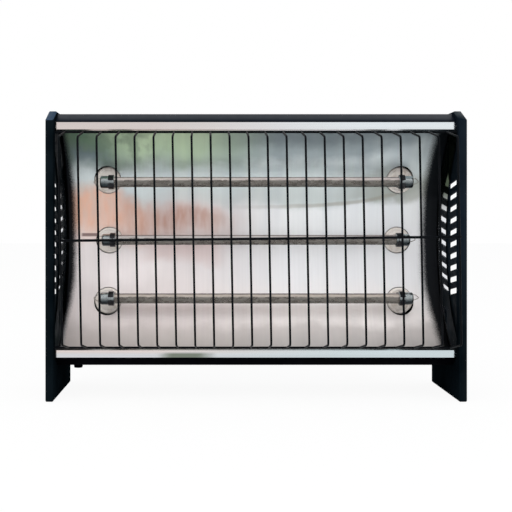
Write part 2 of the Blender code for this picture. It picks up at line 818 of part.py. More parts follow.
def make_reflector(material):
    reflector = fold(
        "reflector",
        reflector_line(),
        -BOWL_HALF_LENGTH,
        BOWL_HALF_LENGTH,
        REFLECTOR_SHEET,
        material,
    )
    smooth(reflector.data)
    trims = []
    for side in SIDES.values():
        ends = sorted((side * CASING_HALF_LENGTH, side * (BOWL_HALF_LENGTH + BOWL_OVERHANG)))
        low = (ends[0], y_at(0), 0)
        high = (ends[1], y_at(BOWL_OVERHANG_DEPTH), PANEL_HEIGHT)
        trims.append((box(low, high), Matrix()))
    cut(reflector, add_cutter("lip_ends", trims))
    hole = rod(BOWL_DEPTH, HOLDER_HOLE_RADIUS, 2 * SCREW_SIDES)
    holes = []
    for side in SIDES.values():
        for row in ROWS.values():
            place = (side * HOLDER_X, y_at(holder_face_depth(row)), holder_height(row))
            holes.append((hole, Matrix.Translation(place) @ FACING_FRONT))
    cut(reflector, add_cutter("holder_holes", holes))


# Bars


def make_holder_rails(material):
    """Upright strips behind the reflector, with feet folded back at both ends."""
    half = CASING_HALF_HEIGHT - CASING_SHEET - FIT
    line = [
        (RAIL_DEPTH + RAIL_FOOT, MIDDLE - half),
        (RAIL_DEPTH, MIDDLE - half),
        (RAIL_DEPTH, MIDDLE + half),
        (RAIL_DEPTH + RAIL_FOOT, MIDDLE + half),
    ]
    for side_name, side in SIDES.items():
        middle = side * HOLDER_X
        fold(
            f"holder_rail_{side_name}",
            line,
            middle - RAIL_WIDTH / 2,
            middle + RAIL_WIDTH / 2,
            RAIL_SHEET,
            material,
        )


def lead_points(row, side):
    """Line of a lead wire: out of the cap's end, round, and back into the holder's face."""
    cap_end = CAP_INNER_X + CAP_LENGTH
    axis = bar_axis(row)
    face = y_at(holder_face_depth(row))
    seat_x = side * (cap_end + LEAD_REACH * 0.2)
    line = [
        (axis.x + side * (cap_end - LEAD_SEAT), axis.y, LEAD_RISE),
        (axis.x + side * (cap_end + LEAD_REACH * 0.35), axis.y, LEAD_RISE),
        (axis.x + side * (cap_end + LEAD_REACH), axis.y + BAR_STANDOFF * 0.25, 0),
        (seat_x, axis.y + BAR_STANDOFF * 0.6, -LEAD_RISE),
        (seat_x, face + LEAD_SEAT, -LEAD_RISE),
    ]
    placed = [(x, y, axis.z + rise) for x, y, rise in line]
    return fillet(placed, LEAD_WIRE_RADIUS * 3, 1)


def lead_seats():
    """Blind holes for the lead wires' ends, in the caps and in the holders."""
    cap_hole = rod(2 * (LEAD_SEAT + FIT), LEAD_WIRE_RADIUS + FIT, LEAD_SIDES)
    cap_holes = []
    holder_holes = []
    for row in ROWS.values():
        for side in SIDES.values():
            points = lead_points(row, side)
            start_x = BAR_SHIFT + side * (CAP_INNER_X + CAP_LENGTH)
            start = Vector((start_x, points[0].y, points[0].z))
            end = Vector((points[-1].x, y_at(holder_face_depth(row)), points[-1].z))
            cap_holes.append((cap_hole, Matrix.Translation(start) @ AXIS_TO_RIGHT))
            holder_holes.append((cap_hole, Matrix.Translation(end) @ FACING_FRONT))
    return add_cutter("cap_seats", cap_holes), add_cutter("holder_seats", holder_holes)


def make_holder(name, row, side, seats, material):
    """Ceramic disc on a shank that stands on its rail; local Z points to the front."""
    face = holder_face_depth(row)
    shank_end = face - (RAIL_DEPTH - FIT)
    profile = [
        (0, 0),
        (HOLDER_RADIUS - HOLDER_EDGE, 0),
        (HOLDER_RADIUS, -HOLDER_EDGE),
        (HOLDER_RADIUS, -HOLDER_DISC),
        (HOLDER_SHANK_RADIUS, -HOLDER_DISC),
        (HOLDER_SHANK_RADIUS, shank_end),
        (0, shank_end),
    ]
    place = Matrix.Translation((side * HOLDER_X, y_at(face), holder_height(row)))
    holder = add_turned(name, profile, TUBE_SIDES, place @ FACING_FRONT, material)
    cut(holder, seats)


def make_cap(name, row, side, seats, material):
    """Metal cup over a tube's end; local Z points out from the heater's middle."""
    bore = TUBE_RADIUS + FIT
    floor = CAP_LENGTH - CAP_END_WALL
    profile = [
        (0, CAP_LENGTH),
        (CAP_RADIUS - CAP_LIP, CAP_LENGTH),
        (CAP_RADIUS, CAP_LENGTH - CAP_LIP),
        (CAP_RADIUS, 0),
        (bore, 0),
        (bore, floor),
        (0, floor),
    ]
    turned = AXIS_TO_RIGHT if side > 0 else AXIS_TO_LEFT
    place = Matrix.Translation(bar_axis(row) + Vector((side * CAP_INNER_X, 0, 0)))
    cap = add_turned(name, profile, TUBE_SIDES, place @ turned, material)
    cut(cap, seats)


def make_clip(name, row, side, material):
    """Spring clip of bent strip whose jaws hold a cap from behind."""
    inner = CAP_RADIUS + FIT
    back = BAR_STANDOFF - FIT - CLIP_SHEET
    jaw = []
    for step in range(5):
        angle = CLIP_ARC_START + (CLIP_ARC_END - CLIP_ARC_START) * step / 4
        jaw.append((inner * cos(angle), inner * sin(angle)))
    tip_depth, tip_height = jaw[-1]
    jaw.append((tip_depth - CLIP_FLARE * 0.5, tip_height + CLIP_FLARE))
    lower = [(depth, -height) for depth, height in reversed(jaw)]
    line = lower + [(back, -CLIP_BASE_HALF), (back, CLIP_BASE_HALF)] + jaw
    placed = [(bar_depth(row) + depth, bar_height(row) + height) for depth, height in line]
    middle = BAR_SHIFT + side * (CAP_INNER_X + CLIP_INSET)
    fold(name, placed, middle - CLIP_WIDTH / 2, middle + CLIP_WIDTH / 2, CLIP_SHEET, material)


def coil_points():
    """Helix about X that closes in to the axis at both ends and runs straight out along it."""
    lead_end = CAP_BORE_END_X - FIT
    start = CAP_INNER_X - COIL_LEAD
    count = COIL_CURLS * COIL_POINTS_PER_CURL
    points = [Vector((-lead_end, 0, 0)), Vector((-start - COIL_LEAD / 4, 0, 0))]
    for index in range(count + 1):
        angle = 2 * pi * index / COIL_POINTS_PER_CURL
        from_end = min(index, count - index) / (COIL_POINTS_PER_CURL / 2)
        radius = COIL_RADIUS * min(1.0, from_end)
        x = start * (2 * index / count - 1)
        points.append(Vector((x, radius * cos(angle), radius * sin(angle))))
    points += [Vector((start + COIL_LEAD / 4, 0, 0)), Vector((lead_end, 0, 0))]
    return points


def least_gap(points, radius):
    """Least distance between turns of a wire, surface to surface, measured on its points."""
    places = np.array([tuple(point) for point in points])
    distance = np.linalg.norm(places[:, None] - places[None, :], axis=2)
    apart = np.abs(np.arange(len(places))[:, None] - np.arange(len(places))[None, :])
    return float(distance[apart >= COIL_POINTS_PER_CURL / 2].min() - 2 * radius)


def make_bars(materials):
    points = coil_points()
    gap = least_gap(points, COIL_WIRE_RADIUS)
    print(f"Least gap of a heating coil to itself: {gap * 1000:.2f} mm")
    cap_seats, holder_seats = lead_seats()
    inner = TUBE_RADIUS - TUBE_WALL
    tube_profile = [
        (TUBE_RADIUS, TUBE_HALF_LENGTH),
        (TUBE_RADIUS, -TUBE_HALF_LENGTH),
        (inner, -TUBE_HALF_LENGTH),
        (inner, TUBE_HALF_LENGTH),
    ]
    for row_name, row in ROWS.items():
        place = Matrix.Translation(bar_axis(row))
        name = f"quartz_tube_{row_name}"
        add_turned(
            name, tube_profile, TUBE_SIDES, place @ AXIS_TO_RIGHT, materials["quartz"], closed=True
        )
        coil = wire(points, COIL_WIRE_RADIUS)
        add_part(f"heating_coil_{row_name}", coil, place, materials["coil"])
        for side_name, side in SIDES.items():
            end = f"{row_name}_{side_name}"
            make_holder(f"ceramic_holder_{end}", row, side, holder_seats, materials["ceramic"])
            make_cap(f"end_cap_{end}", row, side, cap_seats, materials["cap"])
            make_clip(f"terminal_clip_{end}", row, side, materials["clip"])
            lead = wire(lead_points(row, side), LEAD_WIRE_RADIUS)
            add_part(f"lead_wire_{end}", lead, Matrix(), materials["lead"])


# Wire guard


def guard_wire_points(x):
    """One bent wire: rail, leg, bend, straight front, bend, leg, rail."""
    rail_y = y_at(GUARD_RAIL_DEPTH)
    front_y = y_at(-GUARD_STANDOFF)
    corners = [
        (x, rail_y, MIDDLE - GUARD_RAIL_HALF_HEIGHT),
        (x, front_y, MIDDLE - GUARD_CORNER_HALF_HEIGHT),
        (x, front_y, MIDDLE + GUARD_CORNER_HALF_HEIGHT),
        (x, rail_y, MIDDLE + GUARD_RAIL_HALF_HEIGHT),
    ]
    return fillet(corners, GUARD_BEND_RADIUS, GUARD_BEND_STEPS)


def make_guard(material):
    rail_half = PANEL_INNER_X + GUARD_SOCKET_DEPTH - FIT
    rail = wire([(-rail_half, 0, 0), (rail_half, 0, 0)], GUARD_RAIL_RADIUS, 2)
    long_wires = []
    for end in ENDS.values():
        height = MIDDLE + end * GUARD_RAIL_HALF_HEIGHT
        long_wires.append((rail, Matrix.Translation((0, y_at(GUARD_RAIL_DEPTH), height))))
    middle_half = GUARD_OUTER_X + GUARD_MIDDLE_OVERHANG
    behind = GUARD_WIRE_RADIUS + GUARD_MIDDLE_RADIUS - GUARD_WELD
    middle = wire([(-middle_half, 0, 0), (middle_half, 0, 0)], GUARD_MIDDLE_RADIUS, 2)
    height = MIDDLE + GUARD_MIDDLE_RISE
    place = Matrix.Translation((GUARD_SHIFT, y_at(behind - GUARD_STANDOFF), height))
    tilted = Matrix.Rotation(-GUARD_MIDDLE_TILT, 4, "Y")
    long_wires.append((middle, place @ tilted))

    bent = wire(guard_wire_points(0), GUARD_WIRE_RADIUS)
    leaning = Matrix.Translation((GUARD_SHIFT + GUARD_LEAN * MIDDLE, 0, 0))
    leaning[0][2] = -GUARD_LEAN
    bent_wires = []
    for index in range(GUARD_WIRES):
        place = Matrix.Translation((index * GUARD_PITCH - GUARD_OUTER_X, 0, 0))
        bent_wires.append((bent, place @ leaning))
    uprights = add_cutter("guard_uprights", bent_wires)
    lengths = add_cutter("guard_lengths", long_wires)
    guard = add_part("wire_guard", uprights.data.copy(), Matrix(), material)
    bpy.data.objects.remove(uprights, do_unlink=True)
    join(guard, lengths)


# Rocker switches


def make_housing(name, depth, material):
    """Switch body with its bezel, a pocket for the rocker, pin holes and two spades."""
    y = y_at(depth)
    inner_x = BEZEL_BACK_X - HOUSING_LENGTH
    body = box(
        (inner_x, y - HOUSING_HALF_WIDTH, SWITCH_HEIGHT - HOUSING_HALF_HEIGHT),
        (BEZEL_BACK_X + BEZEL_THICKNESS / 2, y + HOUSING_HALF_WIDTH,
         SWITCH_HEIGHT + HOUSING_HALF_HEIGHT),
    )
    housing = add_part(name, body, Matrix(), material)
    bezel = box(
        (BEZEL_BACK_X, y - BEZEL_HALF_WIDTH, SWITCH_HEIGHT - BEZEL_HALF_HEIGHT),
        (BEZEL_BACK_X + BEZEL_THICKNESS, y + BEZEL_HALF_WIDTH, SWITCH_HEIGHT + BEZEL_HALF_HEIGHT),
    )
    join(housing, add_cutter(f"{name}_bezel", [(bezel, Matrix())]))
    spades = []
    for end in ENDS.values():
        height = SWITCH_HEIGHT + end * HOUSING_HALF_HEIGHT / 2
        spade = box(
            (inner_x - SPADE_LENGTH, y - SPADE_WIDTH / 2, height - SPADE_THICKNESS / 2),
            (inner_x + HOUSING_WALL, y + SPADE_WIDTH / 2, height + SPADE_THICKNESS / 2),
        )
        spades.append((spade, Matrix()))
    join(housing, add_cutter(f"{name}_spades", spades))
    half_width = HOUSING_HALF_WIDTH - HOUSING_WALL
    half_height = ROCKER_HALF_HEIGHT + ROCKER_POCKET_SLACK
    pocket = box(
        (ROCKER_AXIS_X - ROCKER_POCKET_BELOW, y - half_width, SWITCH_HEIGHT - half_height),
        (OVERALL_WIDTH / 2, y + half_width, SWITCH_HEIGHT + half_height),
    )
    cut(housing, add_cutter(f"{name}_pocket", [(pocket, Matrix())]))
    pin_hole = rod(2 * (HOUSING_HALF_WIDTH + FIT), PIN_RADIUS + PIN_CLEARANCE, PIN_SIDES)
    place = Matrix.Translation((ROCKER_AXIS_X, y, SWITCH_HEIGHT)) @ FACING_FRONT
    cut(housing, add_cutter(f"{name}_pin_holes", [(pin_hole, place)]))


def make_rocker(name, depth, material):
    """Rocker with a dished face and two pins, its origin on the pins' axis, tilted to off."""
    outline = [
        (-ROCKER_KEEL, -ROCKER_HALF_HEIGHT),
        (ROCKER_CREST, -ROCKER_HALF_HEIGHT),
        (ROCKER_VALLEY + (ROCKER_CREST - ROCKER_VALLEY) * 0.35, -ROCKER_HALF_HEIGHT / 2),
        (ROCKER_VALLEY, 0),
        (ROCKER_VALLEY + (ROCKER_CREST - ROCKER_VALLEY) * 0.35, ROCKER_HALF_HEIGHT / 2),
        (ROCKER_CREST, ROCKER_HALF_HEIGHT),
        (-ROCKER_KEEL, ROCKER_HALF_HEIGHT),
    ]
    axis = Matrix.Translation((ROCKER_AXIS_X, y_at(depth), SWITCH_HEIGHT))
    tilted = axis @ Matrix.Rotation(ROCKER_TILT, 4, "Y") @ FACING_FRONT
    mesh = flat_shape([outline], 2 * ROCKER_HALF_WIDTH)
    rocker = add_part(name, mesh, tilted, material)
    pins = rod(2 * HOUSING_HALF_WIDTH - FIT, PIN_RADIUS, PIN_SIDES)
    join(rocker, add_cutter(f"{name}_pins", [(pins, axis @ FACING_FRONT)]))


# Electrical pieces behind the reflector


def make_gland(material):
    """Snap-in bush for the supply cord, with a through bore, under the casing at the left."""
    top = CASING_SHEET + FIT
    profile = [
        (GLAND_FLANGE_RADIUS, top + GLAND_FLANGE_HEIGHT),
        (GLAND_FLANGE_RADIUS, top),
        (GLAND_NECK_RADIUS, top),
        (GLAND_NECK_RADIUS, -FIT),
        (GLAND_RADIUS, -FIT),
        (GLAND_RADIUS, -GLAND_DROP / 2),
        (GLAND_TIP_RADIUS, -GLAND_DROP),
        (GLAND_BORE_RADIUS, -GLAND_DROP),
        (GLAND_BORE_RADIUS, top + GLAND_FLANGE_HEIGHT),
    ]
    place = Matrix.Translation((GLAND_X, y_at(GLAND_DEPTH), CASING_BASE))
    add_turned("cord_gland", profile, SCREW_SIDES, place, material, closed=True)


def block_way_x(index):
    return BLOCK_X + (index - (BLOCK_WAYS - 1) / 2) * BLOCK_LENGTH / BLOCK_WAYS


def block_base():
    return CASING_BASE + CASING_SHEET + FIT


def make_terminal_block(material):
    low = Vector((BLOCK_X - BLOCK_LENGTH / 2, y_at(BLOCK_DEPTH) - BLOCK_WIDTH / 2, block_base()))
    block = add_part(
        "terminal_block",
        box(low, low + Vector((BLOCK_LENGTH, BLOCK_WIDTH, BLOCK_HEIGHT))),
        Matrix(),
        material,
    )
    well = rod(2 * BLOCK_WELL_DEPTH, BLOCK_WELL_RADIUS, SCREW_SIDES)
    top = block_base() + BLOCK_HEIGHT
    wells = [
        (well, Matrix.Translation((block_way_x(index), y_at(BLOCK_DEPTH), top)))
        for index in range(BLOCK_WAYS)
    ]
    cut(block, add_cutter("block_wells", wells))


def cutout_back():
    return y_at(RAIL_DEPTH + RAIL_SHEET + FIT + CUTOUT_LENGTH)


def make_thermal_cutout(material):
    """Round cutout on the back of the right rail, with two spades."""
    front = cutout_back() - CUTOUT_LENGTH
    place = Matrix.Translation((HOLDER_X, (front + cutout_back()) / 2, CUTOUT_HEIGHT))
    body = rod(CUTOUT_LENGTH, CUTOUT_RADIUS, TUBE_SIDES)
    cutout = add_part("thermal_cutout", body, place @ FACING_FRONT, material)
    spades = []
    for end in ENDS.values():
        x = HOLDER_X + end * CUTOUT_SPADE_SPACING
        spade = box(
            (x - SPADE_THICKNESS / 2, cutout_back() - SPADE_THICKNESS,
             CUTOUT_HEIGHT - SPADE_WIDTH / 2),
            (x + SPADE_THICKNESS / 2, cutout_back() + SPADE_LENGTH,
             CUTOUT_HEIGHT + SPADE_WIDTH / 2),
        )
        spades.append((spade, Matrix()))
    join(cutout, add_cutter("cutout_spades", spades))


def make_hookup_wires(material):
    """Two wires: terminal block to cutout, and cutout to the front switch."""
    run_y = y_at(HOOKUP_DEPTH)
    spade_y = cutout_back() + SPADE_LENGTH + FIT
    block_top = block_base() + BLOCK_HEIGHT
    low_x = HOLDER_X - CUTOUT_SPADE_SPACING
    high_x = HOLDER_X + CUTOUT_SPADE_SPACING
    block_wire = [
        (block_way_x(BLOCK_WAYS - 1), y_at(BLOCK_DEPTH), block_top - BLOCK_WELL_DEPTH + FIT),
        (block_way_x(BLOCK_WAYS - 1), y_at(BLOCK_DEPTH), block_top + 2 * HOOKUP_BEND),
        (block_way_x(BLOCK_WAYS - 1) + 2 * HOOKUP_BEND, run_y, block_top + 3 * HOOKUP_BEND),
        (low_x - 3 * HOOKUP_BEND, run_y, block_top + 4 * HOOKUP_BEND),
        (low_x - 2 * HOOKUP_BEND, spade_y + HOOKUP_RADIUS, CUTOUT_HEIGHT),
        (low_x + SPADE_THICKNESS / 2, spade_y + HOOKUP_RADIUS, CUTOUT_HEIGHT),
    ]
    spade_end_x = BEZEL_BACK_X - HOUSING_LENGTH - SPADE_LENGTH - FIT
    switch_y = y_at(SWITCH_DEPTHS["rear"])
    switch_wire = [
        (high_x - SPADE_THICKNESS / 2, spade_y + HOOKUP_RADIUS, CUTOUT_HEIGHT),
        (high_x + 2 * HOOKUP_BEND, spade_y + HOOKUP_RADIUS, CUTOUT_HEIGHT),
        (high_x + 2 * HOOKUP_BEND, switch_y, SWITCH_HEIGHT - 3 * HOOKUP_BEND),
        (high_x + HOOKUP_BEND, switch_y, SWITCH_HEIGHT - HOUSING_HALF_HEIGHT / 2),
        (spade_end_x, switch_y, SWITCH_HEIGHT - HOUSING_HALF_HEIGHT / 2),
    ]
    routes = {"wire_block_to_cutout": block_wire, "wire_cutout_to_switch": switch_wire}
    for name, route in routes.items():
        add_part(name, wire(fillet(route, HOOKUP_BEND / 2, 3), HOOKUP_RADIUS), Matrix(), material)


clear_scene()
parts = new_collection("quartz_heater")
cutters = new_collection("cutters")

black_plastic = new_material("black_plastic", (0.012, 0.018, 0.022), 0.42)
black_paint = new_material("black_paint", (0.010, 0.014, 0.022), 0.35)
guard_paint = new_material("guard_paint", (0.008, 0.010, 0.014), 0.40)
polished_steel = new_material("polished_steel", (0.78, 0.79, 0.78), 0.16, 1.0)
plated_steel = new_material("plated_steel", (0.62, 0.63, 0.65), 0.28, 1.0)
switch_plastic = new_material("switch_plastic", (0.02, 0.02, 0.02), 0.30)
rocker_plastic = new_material("rocker_plastic", (0.02, 0.02, 0.02), 0.25)
wire_cover = new_material("wire_cover", (0.75, 0.72, 0.66), 0.60)
bar_materials = {
    "quartz": new_material("quartz", (0.86, 0.83, 0.80), 0.05, 0.0, 0.9),
    "coil": new_material("coil_wire", (0.22, 0.17, 0.15), 0.45, 1.0),
    "cap": new_material("cap_nickel", (0.55, 0.54, 0.53), 0.22, 1.0),
    "clip": new_material("clip_steel", (0.42, 0.42, 0.44), 0.30, 1.0),
    "ceramic": new_material("ceramic", (0.80, 0.70, 0.60), 0.50),
    "lead": new_material("lead_wire", (0.60, 0.57, 0.52), 0.35, 1.0),
}

for side_label, side_sign in SIDES.items():
    make_side_panel(side_label, side_sign, black_plastic)
make_cover("top_cover", 1, black_paint)
make_base_pan(black_paint)
make_rear_panel(black_paint)
make_reflector(polished_steel)
make_holder_rails(plated_steel)
make_bars(bar_materials)
make_guard(guard_paint)
for place_label, switch_depth in SWITCH_DEPTHS.items():
    make_housing(f"switch_housing_{place_label}", switch_depth, switch_plastic)
    make_rocker(f"rocker_{place_label}", switch_depth, rocker_plastic)
make_gland(black_plastic)
make_terminal_block(bar_materials["ceramic"])
make_thermal_cutout(switch_plastic)
make_hookup_wires(wire_cover)
make_panel_screws(plated_steel)
make_rear_screws(plated_steel)
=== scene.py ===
"""Portable electric heater with three quartz bars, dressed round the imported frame.

X runs along the bars, +Y runs from the front to the back, and +Z is up, in metres, with the
origin on the floor. Each piece takes its place from the box of the CAD node that it stands for.
"""

from math import asin, cos, pi, radians, sin, sqrt, tan

import bmesh
import bpy
from mathutils import Euler, Matrix, Vector, noise


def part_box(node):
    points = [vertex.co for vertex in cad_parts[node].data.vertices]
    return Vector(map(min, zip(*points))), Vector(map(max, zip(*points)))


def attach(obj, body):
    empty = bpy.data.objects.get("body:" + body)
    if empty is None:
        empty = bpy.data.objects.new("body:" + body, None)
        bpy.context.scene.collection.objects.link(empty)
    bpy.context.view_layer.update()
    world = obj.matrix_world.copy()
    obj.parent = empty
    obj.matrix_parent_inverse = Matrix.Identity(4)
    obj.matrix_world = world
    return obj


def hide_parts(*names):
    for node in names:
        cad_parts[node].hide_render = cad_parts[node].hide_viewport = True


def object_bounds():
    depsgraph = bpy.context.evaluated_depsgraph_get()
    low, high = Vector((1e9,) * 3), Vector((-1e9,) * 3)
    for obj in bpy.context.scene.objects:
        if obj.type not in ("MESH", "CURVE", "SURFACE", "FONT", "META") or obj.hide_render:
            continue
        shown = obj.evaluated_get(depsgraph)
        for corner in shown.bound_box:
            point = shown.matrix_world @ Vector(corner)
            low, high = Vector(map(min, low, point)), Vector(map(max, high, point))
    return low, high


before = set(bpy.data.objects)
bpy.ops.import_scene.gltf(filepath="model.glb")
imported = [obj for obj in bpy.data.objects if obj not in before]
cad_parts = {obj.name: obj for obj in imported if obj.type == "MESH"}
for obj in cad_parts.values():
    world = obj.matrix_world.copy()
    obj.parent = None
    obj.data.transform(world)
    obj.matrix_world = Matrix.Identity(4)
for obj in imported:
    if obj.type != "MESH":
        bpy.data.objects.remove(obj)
cad_low, cad_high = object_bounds()

ROWS = ("top", "middle", "bottom")
SIDES = {"left": -1, "right": 1}
ENDS = {"upper": 1, "lower": -1}
ALONG_X = Euler((0, pi / 2, 0)).to_matrix().to_4x4()
FACING_FRONT = Euler((pi / 2, 0, 0)).to_matrix().to_4x4()
scene = bpy.context.scene


def centre(node):
    low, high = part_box(node)
    return (low + high) / 2


def size(node):
    low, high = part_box(node)
    return high - low


# Camera, world, floor and lights

CAMERA_PLACE = (-0.0438, -0.9205, 0.1725)
SENSOR_MM = 36
LENS_MM = 65.43
LENS_SHIFT = (0.0898, -0.0703)
SKY_COLOUR = (0.97, 0.98, 1.0, 1)
SKY_STRENGTH = 0.80
FLOOR_HALF = 6
FLOOR_DROP = 0.0003
FLOOR_COLOUR = (0.90, 0.90, 0.90, 1)
FLOOR_GLOW = 0.93
LIT_POINT = (0, 0, 0.15)


def add_camera():
    lens = bpy.data.cameras.new("camera")
    lens.sensor_width = SENSOR_MM
    lens.lens = LENS_MM
    lens.shift_x, lens.shift_y = LENS_SHIFT
    camera = bpy.data.objects.new("camera", lens)
    camera.location = CAMERA_PLACE
    camera.rotation_euler = (pi / 2, 0, 0)
    scene.collection.objects.link(camera)
    scene.camera = camera


def seen_directly(tree):
    """A value of 1 for rays that show the surroundings: direct, off metal or through glass."""
    path = tree.nodes.new("ShaderNodeLightPath")
    seen = path.outputs["Is Camera Ray"]
    for kind in ("Is Glossy Ray", "Is Transmission Ray"):
        either = tree.nodes.new("ShaderNodeMath")
        either.operation = "MAXIMUM"
        tree.links.new(seen, either.inputs[0])
        tree.links.new(path.outputs[kind], either.inputs[1])
        seen = either.outputs[0]
    return seen


def blend(tree, factor, first, second, output):
    """Show the first shader where the factor is 0 and the second where it is 1."""
    mix = tree.nodes.new("ShaderNodeMixShader")
    for source, socket in zip((factor, first.outputs[0], second.outputs[0]), mix.inputs):
        tree.links.new(source, socket)
    tree.links.new(mix.outputs[0], tree.nodes[output].inputs["Surface"])


def add_world():
    """Soft light from all round, and plain white where the surroundings are seen."""
    world = bpy.data.worlds.new("studio")
    world.use_nodes = True
    tree = world.node_tree
    light = tree.nodes["Background"]
    light.inputs["Color"].default_value = SKY_COLOUR
    light.inputs["Strength"].default_value = SKY_STRENGTH
    shown = tree.nodes.new("ShaderNodeBackground")
    shown.inputs["Color"].default_value = (1, 1, 1, 1)
    shown.inputs["Strength"].default_value = 1.0
    blend(tree, seen_directly(tree), light, shown, "World Output")
    scene.world = world


def add_floor():
    """A wide pale floor, nearly white to the camera, that still takes the heater's shadow.

    It lies a little below the feet, so that the two don't flicker when seen from below.
    """
    shape = bmesh.new()
    bmesh.ops.create_grid(shape, x_segments=8, y_segments=8, size=FLOOR_HALF)
    mesh = bpy.data.meshes.new("floor")
    shape.to_mesh(mesh)
    shape.free()
    floor = bpy.data.objects.new("floor", mesh)
    floor.location.z = -FLOOR_DROP
    scene.collection.objects.link(floor)
    paper = Paint("floor", 0.9, specular=0.0)
    paper.set("Base Color", FLOOR_COLOUR)
    glow = paper.node("ShaderNodeEmission")
    glow.inputs["Strength"].default_value = 1.0
    share = paper.product(seen_directly(paper.tree), FLOOR_GLOW)
    blend(paper.tree, share, paper.shader, glow, "Material Output")
    mesh.materials.append(paper.material)


def add_light(name, place, width, watts, colour):
    """A soft rectangular lamp that the polished sheet doesn't mirror."""
    lamp = bpy.data.lights.new(name, "AREA")
    lamp.shape = "RECTANGLE"
    lamp.size = width
    lamp.size_y = width * 0.6
    lamp.energy = watts
    lamp.color = colour
    item = bpy.data.objects.new(name, lamp)
    item.location = place
    aim = Vector(LIT_POINT) - Vector(place)
    item.rotation_euler = aim.to_track_quat("-Z", "Y").to_euler()
    item.visible_glossy = False
    scene.collection.objects.link(item)


# Materials


def grey(value):
    return (value, value, value)


class Paint:
    """A Principled material whose colour, roughness and relief come from noise in metres."""

    def __init__(self, name, roughness, metallic=0.0, specular=0.5):
        self.material = bpy.data.materials.new(name)
        self.material.use_nodes = True
        self.tree = self.material.node_tree
        self.shader = self.tree.nodes["Principled BSDF"]
        self.set("Roughness", roughness)
        self.set("Metallic", metallic)
        self.set("Specular IOR Level", specular)
        self.coordinates = self.node("ShaderNodeTexCoord")

    def set(self, socket, value):
        self.shader.inputs[socket].default_value = value

    def drive(self, socket, source):
        self.join(source, self.shader.inputs[socket])

    def node(self, kind, **values):
        item = self.tree.nodes.new(kind)
        for key, value in values.items():
            setattr(item, key, value)
        return item

    def join(self, source, target):
        self.tree.links.new(source, target)

    def axes(self, kind="Object"):
        """The X, Y and Z of a point's place, or of its Normal."""
        split = self.node("ShaderNodeSeparateXYZ")
        self.join(self.coordinates.outputs[kind], split.inputs[0])
        return split.outputs["X"], split.outputs["Y"], split.outputs["Z"]

    def noise(self, scale, stretch=(1, 1, 1), detail=3.0):
        """Noise with features of about 1 / scale metres, drawn out where stretch is below 1."""
        mapping = self.node("ShaderNodeMapping")
        mapping.inputs["Scale"].default_value = stretch
        self.join(self.coordinates.outputs["Object"], mapping.inputs["Vector"])
        texture = self.node("ShaderNodeTexNoise")
        texture.inputs["Scale"].default_value = scale
        texture.inputs["Detail"].default_value = detail
        self.join(mapping.outputs["Vector"], texture.inputs["Vector"])
        return texture.outputs["Fac"]

    def ramp(self, factor, stops):
        """Colours at places between 0 and 1 along a factor."""
        ramp = self.node("ShaderNodeValToRGB")
        ramp.color_ramp.interpolation = "EASE"
        elements = ramp.color_ramp.elements
        while len(elements) < len(stops):
            elements.new(0.5)
        for element, (place, colour) in zip(elements, stops):
            element.position = place
            element.color = (*colour, 1)
        self.join(factor, ramp.inputs["Fac"])
        return ramp.outputs["Color"]

    def between(self, factor, low, high, to_low=0.0, to_high=1.0, shape="SMOOTHSTEP"):
        """A factor rescaled from low..high to to_low..to_high, and held there beyond."""
        scaled = self.node("ShaderNodeMapRange", interpolation_type=shape)
        values = (low, high, to_low, to_high)
        for socket, value in zip(("From Min", "From Max", "To Min", "To Max"), values):
            scaled.inputs[socket].default_value = value
        self.join(factor, scaled.inputs["Value"])
        return scaled.outputs["Result"]

    def window(self, factor, start, full, fade, end):
        """1 where the factor is from full to fade, falling smoothly to 0 at start and end."""
        return self.product(self.between(factor, start, full), self.between(factor, end, fade))

    def maths(self, operation, first, second):
        item = self.node("ShaderNodeMath", operation=operation)
        for socket, value in zip(item.inputs, (first, second)):
            if isinstance(value, (int, float)):
                socket.default_value = value
            else:
                self.join(value, socket)
        return item.outputs[0]

    def product(self, first, *others):
        for other in others:
            first = self.maths("MULTIPLY", first, other)
        return first

    def total(self, first, *others):
        for other in others:
            first = self.maths("ADD", first, other)
        return first

    def stray(self, value, cloud, reach):
        """A value that noise carries off by up to half of reach either way."""
        shift = self.maths("SUBTRACT", self.product(cloud, reach), reach / 2)
        return self.total(value, shift)

    def mix(self, factor, first, second):
        """Colour first where the factor is 0 and second where it is 1."""
        item = self.node("ShaderNodeMix", data_type="RGBA")
        for socket, value in ((item.inputs[6], first), (item.inputs[7], second)):
            if isinstance(value, tuple):
                socket.default_value = (*value, 1)
            else:
                self.join(value, socket)
        self.join(factor, item.inputs[0])
        return item.outputs[2]

    def times(self, first, second):
        """The product of two colours."""
        item = self.node("ShaderNodeMix", data_type="RGBA", blend_type="MULTIPLY")
        item.inputs[0].default_value = 1.0
        self.join(first, item.inputs[6])
        self.join(second, item.inputs[7])
        return item.outputs[2]

    # Lays the painted highlights and painted reflections over a colour; the ceramic's stain noise
    # shares the name.
    def stain_and_painted_light(self, colour, tint, strength, *areas):
        """Tint a colour where all the areas overlap."""
        return self.mix(self.product(*areas, strength), colour, tint)

    def tone(self, dark, light, scale=45):
        """Slow changes of tone between two colours."""
        return self.ramp(self.noise(scale, detail=5.0), [(0.3, dark), (0.7, light)])

    def colour(self, source):
        self.drive("Base Color", source)

    def roughness(self, factor, low, high):
        self.drive("Roughness", self.between(factor, 0.3, 0.7, low, high))

    def wear(self, low, high):
        """Roughness that changes in patches of about 6 mm."""
        self.roughness(self.noise(160, detail=4.0), low, high)

    def relief(self, factor, height):
        bump = self.node("ShaderNodeBump")
        bump.inputs["Distance"].default_value = height
        self.join(factor, bump.inputs["Height"])
        self.drive("Normal", bump.outputs["Normal"])

    def grain(self, scale, height):
        """A fine even relief."""
        self.relief(self.noise(scale, detail=2.0), height)


